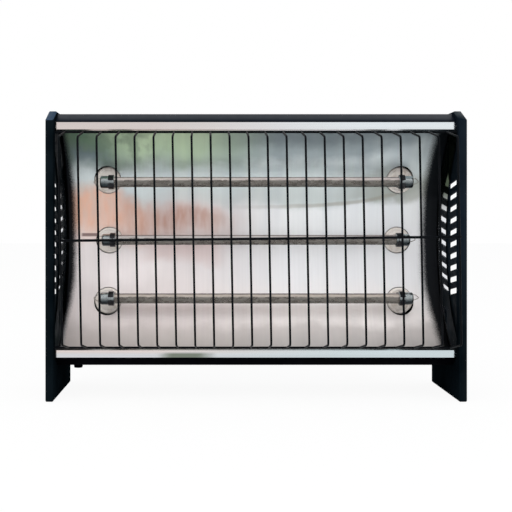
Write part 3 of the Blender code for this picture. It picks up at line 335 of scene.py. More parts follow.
def moulded(name, dark, light, roughness, specular, grain=1500, depth=0.00004):
    """Moulded or painted: a fine grain, with slow changes of tone."""
    paint = Paint(name, roughness, specular=specular)
    paint.colour(paint.tone(dark, light))
    paint.wear(roughness - 0.06, roughness + 0.08)
    paint.grain(grain, depth)
    return paint.material


def metal(name, dark, light, roughness):
    """Bare metal with fine marks."""
    paint = Paint(name, roughness, metallic=1.0)
    paint.colour(paint.tone(dark, light, scale=120))
    marks = paint.noise(900)
    paint.roughness(marks, roughness - 0.05, roughness + 0.07)
    paint.relief(marks, 0.00001)
    return paint.material


CHAMFER_Z = 0.2675
PANEL_INNER_X = 0.1940
PANEL_OUTER_X = 0.1990


def panel_paint():
    """Moulded black, dead matt towards the mouth, with a painted highlight on the upward-facing top
    chamfers.

    The upper part of the right panel is a little paler than the rest.
    """
    paint = Paint("panel_plastic", 0.55)
    x, _, z = paint.axes()
    plain = paint.tone((0.0020, 0.0040, 0.0056), (0.0040, 0.0070, 0.0094))
    pale = paint.tone((0.0056, 0.0092, 0.0140), (0.0074, 0.0120, 0.0178))
    upper_right = paint.product(paint.between(x, 0.10, 0.15), paint.between(z, 0.06, 0.15))
    colour = paint.mix(upper_right, plain, pale)
    # Painted highlight: upward-facing faces at the top of the panels are painted pale, bluish at
    # the left and, at the right, grey that is paler towards the top.
    rise = paint.between(z, CHAMFER_Z, CHAMFER_Z + 0.009)
    right = paint.mix(rise, (0.004, 0.008, 0.013), (0.036, 0.044, 0.049))
    painted_chamfer_highlight = paint.mix(paint.between(x, -0.1, 0.1), (0.034, 0.056, 0.088), right)
    facing_up = paint.between(paint.axes("Normal")[2], 0.3, 0.5)
    near_top = paint.between(z, CHAMFER_Z - 0.0035, CHAMFER_Z - 0.0005)
    paint.colour(paint.stain_and_painted_light(colour, painted_chamfer_highlight, 1.0, facing_up, near_top))
    outwards = paint.maths("ABSOLUTE", x, 0)
    sheen = paint.between(outwards, PANEL_INNER_X, PANEL_OUTER_X, 0.0, 0.02)
    paint.drive("Specular IOR Level", sheen)
    paint.wear(0.50, 0.62)
    paint.grain(1500, 0.00003)
    return paint.material


def casing_paint():
    """Black enamel whose front edge catches less light towards the mouth."""
    paint = Paint("casing_enamel", 0.38)
    _, _, z = paint.axes()
    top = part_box("top_cover")[1].z
    paint.colour(paint.tone((0.0030, 0.0048, 0.0086), (0.0042, 0.0068, 0.0120)))
    paint.set("Specular Tint", (0.62, 0.80, 1.0, 1.0))
    sheen = paint.between(z, top - 0.0084, top - 0.0038, 0.0, 0.16)
    paint.drive("Specular IOR Level", sheen)
    paint.wear(0.36, 0.42)
    paint.grain(700, 0.00001)
    return paint.material


# Painted reflection on the polished sheet: tones up the bowl, as shares of its height and colours
BOWL_REFLECTION_TONES = (
    (0.03, (0.60, 0.56, 0.54)),
    (0.10, (0.68, 0.63, 0.61)),
    (0.16, (1.00, 0.94, 0.92)),
    (0.36, (0.91, 0.91, 0.93)),
    (0.61, (0.97, 0.99, 1.00)),
    (0.67, (0.69, 0.75, 0.74)),
    (0.81, (0.84, 0.92, 0.93)),
    (0.87, (0.42, 0.49, 0.51)),
    (0.93, (0.24, 0.29, 0.31)),
    (0.99, (0.20, 0.26, 0.27)),
)
# Painted reflection: the near-black that the side panels' inner faces make in the sheet beside its
# ends
MIRRORED_PANEL_DARK = (0.003, 0.005, 0.008)


def painted_bowl_reflection(paint, x, z, bend):
    """Painted reflection: tones up the sheet, warmer at the left, with a painted glow beside the
    middle bar.
    """
    low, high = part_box("reflector")
    lift = paint.product(bend, paint.between(z, 0.12, 0.18))
    level = paint.maths("SUBTRACT", z, lift)
    rise = paint.between(level, low.z, high.z, shape="LINEAR")
    colour = paint.ramp(rise, BOWL_REFLECTION_TONES)
    # Painted light: a warm glow beside the left part of the middle bar.
    glow = paint.window(z, 0.100, 0.124, 0.166, 0.182)
    glow = paint.product(glow, paint.between(x, -0.070, -0.110))
    warm = paint.mix(paint.between(z, 0.054, 0.082), (0.62, 0.55, 0.53), (0.81, 0.72, 0.71))
    warm = paint.mix(glow, warm, (1.0, 0.90, 0.89))
    left = paint.between(x, 0.06, -0.10)
    return paint.stain_and_painted_light(colour, warm, 0.7, left, paint.between(z, 0.205, 0.180))


def painted_upper_reflections(paint, colour, place, x, z):
    """Painted reflection of the surroundings: green and blue at the upper left, with a leafy
    mottle; olive and grey at the right.
    """
    green = paint.window(x, -0.170, -0.125, -0.08, 0.03)
    colour = paint.stain_and_painted_light(colour, (0.58, 0.74, 0.51), 1.0, green, paint.between(z, 0.214, 0.246))
    olive = paint.window(z, 0.190, 0.198, 0.210, 0.226)
    colour = paint.stain_and_painted_light(colour, (0.38, 0.40, 0.34), 0.65, olive, paint.between(x, 0.06, 0.13))
    dusk = paint.mix(paint.between(z, 0.236, 0.250), (0.13, 0.19, 0.20), (0.15, 0.26, 0.16))
    blue = paint.window(z, 0.208, 0.242, 0.252, 0.276)
    colour = paint.stain_and_painted_light(colour, dusk, 0.85, blue, paint.between(x, -0.110, -0.165))
    darker_patch = paint.between(place, 0.085, 0.125)
    colour = paint.stain_and_painted_light(colour, (0.38, 0.44, 0.46), 0.45, darker_patch, paint.between(z, 0.224, 0.240))
    leaf = paint.between(paint.noise(80, (1, 1, 0.3), detail=4.0), 0.38, 0.62)
    leaf = paint.product(leaf, paint.between(place, -0.070, -0.125))
    return paint.stain_and_painted_light(colour, (0.20, 0.28, 0.20), 0.60, leaf, paint.between(z, 0.214, 0.240))


def painted_left_reflections(paint, colour, place, height, x, z):
    """Painted reflection: straw above the middle bar, a blush below it, and a dark mark beside its
    left end.
    """
    step = paint.between(x, -0.155, -0.085, 0.0, 0.020)
    tail = paint.product(paint.maths("MAXIMUM", paint.total(x, 0.09), 0.0), 0.06)
    top = paint.between(paint.total(z, step, tail), 0.213, 0.196)
    straw = paint.product(paint.between(x, 0.01, -0.07), paint.between(z, 0.142, 0.172))
    tint = paint.mix(paint.between(x, -0.165, -0.085), (1.0, 0.62, 0.47), (0.58, 0.36, 0.30))
    cloud = paint.noise(120, (1, 1, 0.25), detail=5.0)
    mottle = paint.between(cloud, 0.35, 0.65, 0.72, 1.0)
    colour = paint.stain_and_painted_light(colour, tint, 1.0, straw, mottle, top)
    blush = paint.window(x, -0.125, -0.100, -0.05, -0.02)
    below = paint.window(z, 0.122, 0.136, 0.146, 0.154)
    colour = paint.stain_and_painted_light(colour, (0.76, 0.58, 0.56), 0.55, blush, below)
    # Painted reflection of the middle bar's left end: a dark mark.
    along = paint.window(place, -0.1755, -0.1725, -0.1550, -0.1520)
    across = paint.window(height, 0.1554, 0.1566, 0.1586, 0.1598)
    return paint.stain_and_painted_light(colour, (0.16, 0.09, 0.09), 0.80, along, across)


def rising_line(paint, colour, place, height, x, bend):
    """A thin darker line that climbs to the right above the middle bar."""
    ripple = paint.stray(height, paint.noise(40), 0.004)
    crest = paint.maths("SUBTRACT", ripple, bend)
    along = paint.product(paint.between(x, -0.06, 0.09), paint.between(place, 0.152, 0.140))
    across = paint.window(crest, 0.1825, 0.1848, 0.1860, 0.1885)
    return paint.stain_and_painted_light(colour, (0.40, 0.37, 0.31), 0.55, along, across)


def brushed(paint, colour, streaks, z):
    """Fine upright brush marks, and broad upright bands of painted shade from the guard wires that
    are stronger towards the top.
    """
    shade = paint.mix(paint.between(streaks, 0.3, 0.7), grey(0.97), grey(1.0))
    bands = paint.noise(52, (1, 0.06, 0.06), detail=2.0)
    faint = paint.mix(paint.between(z, 0.13, 0.20), grey(0.95), (0.90, 0.91, 0.93))
    broad = paint.mix(paint.between(bands, 0.35, 0.65), faint, grey(1.0))
    return paint.times(paint.times(colour, shade), broad)


def panel_reflection_area(paint, place, z):
    """Painted reflection of the black side panels beside each flat end, closer to the panel at the
    bottom and at the top.
    """
    below = paint.between(z, 0.12, 0.05, 0.0, 0.007)
    outward = paint.total(below, paint.between(z, 0.20, 0.25, 0.0, 0.003))
    outward = paint.stray(outward, paint.noise(1400, detail=1.0), 0.006)
    right_place = paint.maths("SUBTRACT", place, outward)
    left_place = paint.total(place, outward)
    right = paint.product(
        paint.between(right_place, 0.166, 0.176), paint.between(place, 0.1895, 0.1875)
    )
    left = paint.product(
        paint.between(left_place, -0.176, -0.184), paint.between(place, -0.1905, -0.1885)
    )
    return paint.product(paint.maths("MAXIMUM", right, left), 0.985)


def reflector_paint():
    """Satin sheet, brushed up and down, whose colours are a painted reflection of the surroundings,
    with a painted reflection of the black side panels near its ends and mirror-flat tips.

    place and height are a point's true X and Z, and x and z are the same with slow noise added,
    so that the painted reflections have uneven edges. bend is how far the upper tones climb to the
    right.
    """
    paint = Paint("reflector_steel", 0.36, metallic=0.6)
    place, _, height = paint.axes()
    x = paint.stray(place, paint.noise(14, (1, 1, 0.5), detail=2.0), 0.040)
    z = paint.stray(height, paint.noise(26, detail=4.0), 0.030)
    past = paint.maths("MAXIMUM", paint.maths("SUBTRACT", place, 0.06), 0.0)
    bend = paint.total(paint.product(past, past, 1.4), paint.product(place, 0.025))

    colour = painted_bowl_reflection(paint, x, z, bend)
    colour = painted_upper_reflections(paint, colour, place, x, z)
    colour = painted_left_reflections(paint, colour, place, height, x, z)
    colour = rising_line(paint, colour, place, height, x, bend)
    streaks = paint.noise(420, (1, 0.02, 0.02), detail=4.0)
    colour = brushed(paint, colour, streaks, z)

    ends = paint.between(paint.maths("ABSOLUTE", place, 0), 0.184, 0.189)
    # Painted shade: the mirror-flat tip at the upper right is painted nearly black, so that it
    # mirrors little.
    painted_dark_tip = paint.product(paint.between(place, 0.0, 0.1), paint.between(height, 0.170, 0.206))
    mirror = paint.mix(painted_dark_tip, (0.80, 0.81, 0.84), (0.07, 0.09, 0.06))
    colour = paint.mix(ends, colour, mirror)
    # Painted reflection of the black side panels: near-black beside each end.
    panel_reflection = panel_reflection_area(paint, place, z)
    paint.colour(paint.mix(panel_reflection, colour, MIRRORED_PANEL_DARK))

    satin = paint.between(streaks, 0.3, 0.7, 0.36, 0.44)
    paint.drive("Roughness", paint.product(satin, paint.between(ends, 0, 1, 1.0, 0.16)))
    dark_or_end = paint.maths("MAXIMUM", ends, panel_reflection)
    gleam = paint.between(z, 0.06, 0.13, 0.50, 0.72)
    paint.drive("Metallic", paint.maths("MAXIMUM", dark_or_end, gleam))
    return paint.material


def lip_paint():
    """The same sheet where it is folded flat, its colours a painted reflection: bright, warmer at
    the left.

    The lower lip has a painted reflection of a dark mound near its left end.
    """
    paint = Paint("reflector_lip_steel", 0.14, metallic=1.0)
    x, _, z = paint.axes()
    x = paint.total(x, paint.product(paint.noise(30), 0.03))
    right = paint.between(x, -0.12, 0.14)
    upper = paint.mix(right, (0.67, 0.60, 0.58), (0.76, 0.81, 0.84))
    warm = paint.mix(paint.between(z, 0.0465, 0.0430), (0.72, 0.64, 0.62), (0.66, 0.67, 0.70))
    lower = paint.mix(right, warm, (0.60, 0.68, 0.71))
    on_upper, on_lower = paint.between(z, 0.1, 0.2), paint.between(z, 0.2, 0.1)
    colour = paint.mix(on_upper, lower, upper)
    # Painted reflection of a dark mound on the lower lip.
    mound = paint.product(
        paint.window(x, -0.080, -0.062, -0.042, -0.024), paint.between(z, 0.0466, 0.0436)
    )
    colour = paint.stain_and_painted_light(colour, (0.15, 0.18, 0.13), 0.90, mound, on_lower)
    streaks = paint.noise(300, (0.03, 1, 1), detail=4.0)
    shade = paint.mix(paint.between(streaks, 0.3, 0.7), grey(0.94), grey(1.0))
    paint.colour(paint.times(colour, shade))
    paint.roughness(streaks, 0.10, 0.16)
    return paint.material


# Painted highlight along each tube's upper side, one colour for each row
TUBE_TOP_HIGHLIGHT = {"top": (0.58, 0.51, 0.49), "middle": (0.52, 0.48, 0.47), "bottom": (0.48, 0.42, 0.37)}
QUARTZ_IOR = 1.45


def glass_paint(row):
    """Frosted quartz, less clear along its upper side where a highlight is painted, and with a
    brown mottled deposit below.
    """
    paint = Paint(f"quartz_{row}", 0.26)
    paint.set("IOR", QUARTZ_IOR)
    _, y, z = paint.axes()
    axis = centre(f"quartz_tube_{row}")
    mottle = paint.noise(260, (0.35, 1, 1), detail=5.0)
    height = paint.total(z, paint.product(mottle, 0.0016))
    above = paint.between(height, axis.z + 0.0016, axis.z + 0.0036)
    under = paint.between(height, axis.z - 0.0022, axis.z - 0.0042)
    crown = paint.between(height, axis.z + 0.0042, axis.z + 0.0052)
    behind = paint.between(y, axis.y + 0.0002, axis.y + 0.0020)
    deposit = paint.ramp(mottle, [(0.35, (0.27, 0.24, 0.21)), (0.65, (0.44, 0.41, 0.37))])
    # Painted shade along the underside.
    deposit = paint.mix(under, deposit, (0.13, 0.14, 0.12))
    # Painted highlight along the upper side.
    front = paint.mix(above, deposit, TUBE_TOP_HIGHLIGHT[row])
    front = paint.mix(crown, front, (0.20, 0.17, 0.16))
    # Painted light: the back, which the sheet mirrors, is painted near-white.
    paint.colour(paint.mix(behind, front, (0.95, 0.93, 0.91)))
    painted_light_area = paint.maths("MAXIMUM", above, behind)
    paint.drive("Transmission Weight", paint.between(painted_light_area, 0, 1, 0.72, 0.05))
    paint.roughness(mottle, 0.20, 0.34)
    return paint.material


def cap_paint(row):
    """Nickel-plated cap with painted light on its upper part and painted shade on its underside."""
    paint = Paint(f"cap_nickel_{row}", 0.2, metallic=1.0)
    _, _, z = paint.axes()
    axis = centre(f"quartz_tube_{row}")
    height = paint.total(z, paint.product(paint.noise(240, detail=4.0), 0.003))
    # Painted light on the upper part and painted shade on the underside.
    bright = paint.between(height, axis.z - 0.0015, axis.z + 0.0045)
    paint.colour(paint.mix(bright, (0.035, 0.045, 0.050), (0.42, 0.46, 0.47)))
    marks = paint.noise(900, (0.1, 1, 1))
    paint.roughness(marks, 0.15, 0.27)
    paint.relief(marks, 0.00001)
    return paint.material


def ceramic_paint():
    """Cream ceramic with faint stains."""
    paint = Paint("ceramic", 0.45, specular=0.4)
    stain_and_painted_light = paint.noise(150, detail=6.0)
    paint.colour(paint.ramp(stain_and_painted_light, [(0.25, (0.68, 0.60, 0.53)), (0.6, (0.90, 0.84, 0.78))]))
    paint.roughness(paint.noise(500), 0.38, 0.55)
    paint.grain(900, 0.00003)
    return paint.material


# Shapes: each is a list of corners and a list of faces


def tube(points, radius, sides=12, dome=False):
    """A round wire along a line of points, with flat or domed ends."""
    points = [Vector(point) for point in points]
    steps = []
    last = len(points) - 1
    for index, point in enumerate(points):
        before = (point - points[max(index - 1, 0)]).normalized()
        after = (points[min(index + 1, last)] - point).normalized()
        steps.append((point, (before + after).normalized(), radius))
    if dome:
        start, end = steps[0], steps[-1]
        for part in (0.4, 0.8):
            inset = radius * (1 - sqrt(1 - part * part))
            steps.insert(0, (start[0] - start[1] * (radius * part), start[1], radius - inset))
            steps.append((end[0] + end[1] * (radius * part), end[1], radius - inset))
    normal = steps[0][1].orthogonal().normalized()
    corners = []
    for point, along, reach in steps:
        normal = (normal - along * normal.dot(along)).normalized()
        side = along.cross(normal)
        for index in range(sides):
            angle = 2 * pi * index / sides
            corners.append(point + (normal * cos(angle) + side * sin(angle)) * reach)
    faces = []
    for ring in range(len(steps) - 1):
        for index in range(sides):
            following = (index + 1) % sides
            low, high = ring * sides, (ring + 1) * sides
            faces.append((low + index, low + following, high + following, high + index))
    faces.append(tuple(range(sides))[::-1])
    faces.append(tuple(range((len(steps) - 1) * sides, len(steps) * sides)))
    return corners, faces


def turned(profile, sides, matrix, closed=False):
    """A profile of (radius, height) points turned about local Z; it starts and ends on the axis."""
    corners = []
    rings = []
    for radius, height in profile:
        if radius == 0:
            rings.append([len(corners)] * sides)
            corners.append(matrix @ Vector((0, 0, height)))
            continue
        rings.append(list(range(len(corners), len(corners) + sides)))
        for index in range(sides):
            angle = 2 * pi * index / sides
            corners.append(matrix @ Vector((radius * cos(angle), radius * sin(angle), height)))
    pairs = list(zip(rings, rings[1:]))
    if closed:
        pairs.append((rings[-1], rings[0]))
    faces = []
    for low, high in pairs:
        for index in range(sides):
            following = (index + 1) % sides
            face = [low[index], low[following], high[following], high[index]]
            faces.append(tuple(dict.fromkeys(face)))
    return corners, faces


# An arc takes at most this share of a side; above this half angle a corner stays as it is
ARC_SHARE = 0.45
NEARLY_STRAIGHT = radians(89)


def rounded(points, radius, steps=4, closed=False):
    """A line of points with arcs in place of its corners."""
    points = [Vector(point) for point in points]
    count = len(points)
    result = []
    for index, corner in enumerate(points):
        if not closed and index in (0, count - 1):
            result.append(corner)
            continue
        before = points[index - 1] - corner
        after = points[(index + 1) % count] - corner
        reach = min(before.length, after.length) * ARC_SHARE
        before.normalize()
        after.normalize()
        half = before.angle(after) / 2
        if half > NEARLY_STRAIGHT:
            result.append(corner)
            continue
        arc = min(radius, reach * tan(half))
        middle = corner + (before + after).normalized() * arc / sin(half)
        first = corner + before * arc / tan(half) - middle
        final = corner + after * arc / tan(half) - middle
        sweep = first.angle(final)
        side = (final - first * cos(sweep)) / sin(sweep)
        for step in range(steps + 1):
            angle = sweep * step / steps
            result.append(middle + first * cos(angle) + side * sin(angle))
    return result


def side_faces(count):
    """Faces between one loop of corners and the next loop of as many."""
    following = [(index + 1) % count for index in range(count)]
    return [(index, after, count + after, count + index) for index, after in enumerate(following)]


def strip(line, thickness, low_x, high_x):
    """A sheet along a line of (y, z) points, drawn out in X; its thickness lies to the right."""
    line = [Vector(point) for point in line]
    outer, inner = [], []
    for index, point in enumerate(line):
        before = (point - line[max(index - 1, 0)]).normalized()
        after = (line[min(index + 1, len(line) - 1)] - point).normalized()
        before = before if index else after
        after = after if index < len(line) - 1 else before
        along = (before + after).normalized()
        right = Vector((along.y, -along.x))
        spread = max(along.dot(before), 0.3)
        outer.append(point)
        inner.append(point + right * thickness / spread)
    loop = outer + inner[::-1]
    corners = [Vector((x, y, z)) for x in (low_x, high_x) for y, z in loop]
    count = len(loop)
    faces = side_faces(count)
    for index in range(len(line) - 1):
        face = (index, index + 1, count - 2 - index, count - 1 - index)
        faces += [face, tuple(count + corner for corner in face[::-1])]
    return corners, faces


def block(low, high):
    """A box between two corners."""
    spans = list(zip(low, high))
    corners = [Vector((x, y, z)) for x in spans[0] for y in spans[1] for z in spans[2]]
    faces = [(0, 1, 3, 2), (4, 6, 7, 5), (0, 4, 5, 1), (2, 3, 7, 6), (0, 2, 6, 4), (1, 5, 7, 3)]
    return corners, faces


def mesh_of(shapes):
    """One mesh with its faces turned outwards."""
    corners, faces = [], []
    for some_corners, some_faces in shapes:
        base = len(corners)
        corners += [tuple(corner) for corner in some_corners]
        faces += [tuple(base + corner for corner in face) for face in some_faces]
    mesh = bpy.data.meshes.new("shapes")
    mesh.from_pydata(corners, [], faces)
    shape = bmesh.new()
    shape.from_mesh(mesh)
    bmesh.ops.recalc_face_normals(shape, faces=shape.faces)
    shape.to_mesh(mesh)
    shape.free()
    return mesh


SAME_PLACE = 1e-6
SAME_PLANE = radians(0.5)


def bevelled(mesh, width, segments=2, angle=30):
    """The mesh with its flat faces joined and its edges rounded."""
    shape = bmesh.new()
    shape.from_mesh(mesh)
    bmesh.ops.remove_doubles(shape, verts=shape.verts, dist=SAME_PLACE)
    bmesh.ops.dissolve_limit(shape, angle_limit=SAME_PLANE, verts=shape.verts, edges=shape.edges)
    edges = [
        edge
        for edge in shape.edges
        if len(edge.link_faces) == 2 and edge.calc_face_angle(0) > radians(angle)
    ]
    bmesh.ops.bevel(
        shape, geom=edges, offset=width, offset_type="OFFSET", segments=segments, profile=0.5,
        affect="EDGES", clamp_overlap=True,
    )
    shape.to_mesh(mesh)
    shape.free()
    return mesh


def split_across(mesh, x):
    """Cut the faces of a mesh along a plane across X."""
    shape = bmesh.new()
    shape.from_mesh(mesh)
    parts = list(shape.verts) + list(shape.edges) + list(shape.faces)
    bmesh.ops.bisect_plane(
        shape, geom=parts, dist=SAME_PLACE, plane_co=(x, 0, 0), plane_no=(1, 0, 0)
    )
    shape.to_mesh(mesh)
    shape.free()


def less(mesh, other):
    """The mesh less another closed mesh."""
    first = bpy.data.objects.new("first", mesh)
    second = bpy.data.objects.new("second", other)
    scene.collection.objects.link(first)
    scene.collection.objects.link(second)
    modifier = first.modifiers.new("boolean", "BOOLEAN")
    modifier.operation = "DIFFERENCE"
    modifier.solver = "EXACT"
    modifier.object = second
    bpy.context.view_layer.update()
    graph = bpy.context.evaluated_depsgraph_get()
    made = bpy.data.meshes.new_from_object(first.evaluated_get(graph))
    bpy.data.objects.remove(first)
    bpy.data.objects.remove(second)
    return made


def add(kind, mesh, paints, nodes, body="root", sharp=35):
    """Place a mesh as a piece that stands for CAD nodes and moves with a body."""
    name = f"{nodes[0]}_{kind}"
    mesh.name = name
    mesh.shade_smooth()
    mesh.set_sharp_from_angle(angle=radians(sharp))
    for paint in paints:
        mesh.materials.append(paint)
    item = bpy.data.objects.new(name, mesh)
    scene.collection.objects.link(item)
    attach(item, body)
    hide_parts(*nodes)


def node_mesh(node):
    """A copy of a CAD node's mesh without its materials and shading."""
    shape = bmesh.new()
    shape.from_mesh(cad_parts[node].data)
    mesh = bpy.data.meshes.new(node)
    for layer in list(shape.loops.layers.uv.values()):
        shape.loops.layers.uv.remove(layer)
    shape.to_mesh(mesh)
    shape.free()
    mesh.polygons.foreach_set("material_index", [0] * len(mesh.polygons))
    return mesh


def soften(node, paint, width=0.0003, body="root", segments=2, angle=30):
    """A piece of the CAD node's own shape, with rounded edges."""
    mesh = bevelled(node_mesh(node), width, segments, angle)
    add("finish", mesh, [paint], [node], body, sharp=40)


# Reflector

LIP = 0.0069
SHEET = 0.0006
HOLE = 0.0136
BOWL_DEPTH = 0.054
BOWL_STEPS = 144
# Beyond this X the sheet's ends mirror like flat ones, rounding off by this height
FLAT_END = 0.187
ROUND_FROM, ROUND_SPAN = 0.055, 0.02
DRILL = 0.04


def bowl_drills(low, high, lip_end):
    """Cutters for the holders' holes and for the lips' ends beside the casing."""
    drills = []
    for sign in SIDES.values():
        near = (sign * lip_end, low.y - 0.002, low.z - 0.01)
        far = (sign * (high.x + 0.002), low.y + 0.002, high.z + 0.01)
        drills.append(block(near, far))
    profile = [(0, -DRILL), (HOLE, -DRILL), (HOLE, DRILL), (0, DRILL)]
    for row in ROWS:
        for side in SIDES:
            place = Matrix.Translation(centre(f"ceramic_holder_{row}_{side}"))
            drills.append(turned(profile, 64, place @ FACING_FRONT))
    return mesh_of(drills)


def sheet_normal(face, flat, place, axis):
    """The bowl's round normal at a corner, except on the lips, rims and flat ends."""
    out = Vector((0, axis.x - place.y, axis.y - place.z)).normalized()
    facing = out.dot(face.normal)
    if abs(face.center.x) > FLAT_END and facing > 0.9:
        turn = (abs(place.z - axis.y) - ROUND_FROM) / ROUND_SPAN
        return Vector((0, -1, 0)).lerp(out, min(max(turn, 0), 1)).normalized()
    if flat or abs(facing) <= 0.9:
        return face.normal
    return out if facing > 0 else -out


def make_reflector(bowl_paint, edge_paint):
    """One sheet: a round bowl between two flat lips, with holes for the holders."""
    low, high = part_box("reflector")
    middle = (low.z + high.z) / 2
    mouth = (high.z - low.z) / 2 - LIP
    radius = (mouth**2 + BOWL_DEPTH**2) / (2 * BOWL_DEPTH)
    axis = Vector((low.y + BOWL_DEPTH - radius, middle))
    limit = asin(mouth / radius)
    line = [(low.y, low.z)]
    for step in range(BOWL_STEPS + 1):
        angle = limit * (2 * step / BOWL_STEPS - 1)
        line.append((axis.x + radius * cos(angle), middle + radius * sin(angle)))
    line.append((low.y, high.z))
    mesh = mesh_of([strip(line, SHEET, low.x, high.x)])
    mesh = less(mesh, bowl_drills(low, high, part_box("top_cover")[1].x))
    for sign in SIDES.values():
        split_across(mesh, sign * FLAT_END)
    add("sheet", mesh, [bowl_paint, edge_paint], ["reflector"])

    normals = []
    for face in mesh.polygons:
        face.use_smooth = True
        flat = face.center.y < low.y + 2 * SHEET
        face.material_index = 1 if flat else 0
        for corner in face.vertices:
            normals.append(tuple(sheet_normal(face, flat, mesh.vertices[corner].co, axis)))
    mesh.normals_split_custom_set(normals)


# Bars

TUBE_WALL = 0.001
COIL_HALF = 0.133
COIL_TURNS = 150
COIL_STEPS = 12
COIL_RADIUS = 0.0029
COIL_WIRE = 0.00042
COIL_WANDER = 0.0016
COIL_TAIL = 0.002
# Between a tube and its cap, and between a cap and its clip
PLAY = 0.0003
CLIP_STRIP = 0.0006
JAW_FROM, JAW_SWEEP, JAW_STEPS = 42, 124, 16


def make_tube(row, paint):
    """A quartz tube with rounded rims."""
    low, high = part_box(f"quartz_tube_{row}")
    outer = (high.z - low.z) / 2
    inner = outer - TUBE_WALL
    half = (high.x - low.x) / 2
    axis = (low + high) / 2
    profile = rounded(
        [(outer, -half), (outer, half), (inner, half), (inner, -half)], 0.0003, 3, closed=True
    )
    shape = turned(profile, 48, Matrix.Translation(axis) @ ALONG_X, closed=True)
    mesh = mesh_of([shape])
    add("glass", mesh, [paint], [f"quartz_tube_{row}"])


def make_coil(row, paint):
    """A close coil whose turns wander a little, with straight tails into the caps."""
    low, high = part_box(f"heating_coil_{row}")
    axis = centre(f"quartz_tube_{row}")
    count = COIL_TURNS * COIL_STEPS
    tail = COIL_HALF + COIL_TAIL
    points = [(x, axis.y, axis.z) for x in (low.x, axis.x - tail)]
    for index in range(count + 1):
        angle = 2 * pi * index / COIL_STEPS
        x = COIL_HALF * (2 * index / count - 1)
        wander = COIL_WANDER * noise.noise(Vector((x * 60, ROWS.index(row) * 9.1, 0)))
        reach = COIL_RADIUS * min(1.0, min(index, count - index) / 6)
        across = (axis.y + reach * cos(angle), axis.z + reach * sin(angle))
        points.append((axis.x + x + wander, *across))
    points += [(x, axis.y, axis.z) for x in (axis.x + tail, high.x)]
    mesh = mesh_of([tube(points, COIL_WIRE, 6)])
    add("wire", mesh, [paint], [f"heating_coil_{row}"], sharp=80)


def make_cap(row, side, paint):
    """A drawn metal cup with a rolled lip, a crimped groove and a domed end."""
    name = f"end_cap_{row}_{side}"
    low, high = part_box(name)
    sign = SIDES[side]
    radius = (high.z - low.z) / 2
    length = high.x - low.x
    floor = length - 0.0022
    bore = size(f"quartz_tube_{row}").z / 2 + PLAY
    inner_x = low.x if sign > 0 else -high.x
    profile = [
        (0, length),
        (radius * 0.55, length),
        (radius - 0.0012, length - 0.0003),
        (radius - 0.0004, length - 0.0009),
        (radius - 0.0001, length - 0.0018),
        (radius - 0.0001, 0.0042),
        (radius - 0.0006, 0.0036),
        (radius - 0.0006, 0.0028),
        (radius - 0.0001, 0.0022),
        (radius, 0.0012),
        (radius, 0.0004),
        (radius - 0.0004, 0),
        (bore, 0),
        (bore, floor),
        (0, floor),
    ]
    axis = centre(f"quartz_tube_{row}")
    turn = ALONG_X if sign > 0 else ALONG_X.inverted()
    place = Matrix.Translation((sign * inner_x, axis.y, axis.z)) @ turn
    mesh = mesh_of([turned(profile, 48, place)])
    add("cup", mesh, [paint], [name], sharp=50)


def make_clip(row, side, paint):
    """Spring clip of bent strip whose jaws hold a cap from behind."""
    name = f"terminal_clip_{row}_{side}"
    low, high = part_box(name)
    axis = centre(f"quartz_tube_{row}")
    inner = size(f"end_cap_{row}_{side}").z / 2 + PLAY
    back = high.y - axis.y - CLIP_STRIP
    jaw = []
    for step in range(JAW_STEPS + 1):
        angle = radians(JAW_FROM + JAW_SWEEP * step / JAW_STEPS)
        jaw.append((inner * cos(angle), inner * sin(angle)))
    depth, height = jaw[-1]
    jaw += [(depth + 0.0001, height + 0.0004), (depth + 0.0003, height + 0.0009)]
    lower = [(depth, -height) for depth, height in reversed(jaw)]
    line = rounded(lower + [(back, -0.0045), (back, 0.0045)] + jaw, 0.0008, 3)
    placed = [(axis.y + depth, axis.z + height) for depth, height in line]
    mesh = mesh_of([strip(placed, CLIP_STRIP, low.x, high.x)])
    bevelled(mesh, 0.00014, 1, 60)
    add("spring", mesh, [paint], [name], sharp=40)


def make_holder(row, side, paint):
    """Ceramic disc on a shank; local Z points to the front."""
    name = f"ceramic_holder_{row}_{side}"
    low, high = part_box(name)
    middle = (low + high) / 2
    radius = (high.z - low.z) / 2
    back = low.y - high.y
    shank, rim = 0.0070, -0.0050
    profile = [
        (0, 0),
        (0.0090, 0),
        (0.0094, -0.0003),
        (0.0098, -0.0003),
        (0.0102, 0),
        (radius - 0.0010, 0),
        (radius - 0.0003, -0.0003),
        (radius, -0.0010),
        (radius, -0.0044),
        (radius - 0.0006, rim),
        (shank, rim),
        (shank, back),
        (0, back),
    ]
    place = Matrix.Translation((middle.x, low.y, middle.z))
    mesh = mesh_of([turned(profile, 64, place @ FACING_FRONT)])
    add("body", mesh, [paint], [name], sharp=50)


def make_lead(row, side, paint):
    """Thin wire that leaves the cap's end and turns back into the holder's face."""
    name = f"lead_wire_{row}_{side}"
    sign = SIDES[side]
    axis = centre(f"quartz_tube_{row}")
    low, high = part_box(f"end_cap_{row}_{side}")
    cap_end = high.x if sign > 0 else low.x
    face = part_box(f"ceramic_holder_{row}_{side}")[0].y
    wire, bend, rise, sunk = 0.0004, 0.0018, 0.0036, 0.0011
    standoff = face - axis.y
    seat_x = centre(f"ceramic_holder_{row}_{side}").x + sign * 0.0094
    line = [
        (cap_end - sign * sunk, axis.y, rise),
        (cap_end + sign * 0.00245, axis.y, rise),
        (cap_end + sign * 0.007, axis.y + standoff * 0.25, 0),
        (seat_x, axis.y + standoff * 0.6, -rise),
        (seat_x, face + sunk, -rise),
    ]
    placed = [(x, y, axis.z + z) for x, y, z in line]
    mesh = mesh_of([tube(rounded(placed, bend, 6), wire, 10)])
    add("strand", mesh, [paint], [name], sharp=60)


# Wire guard

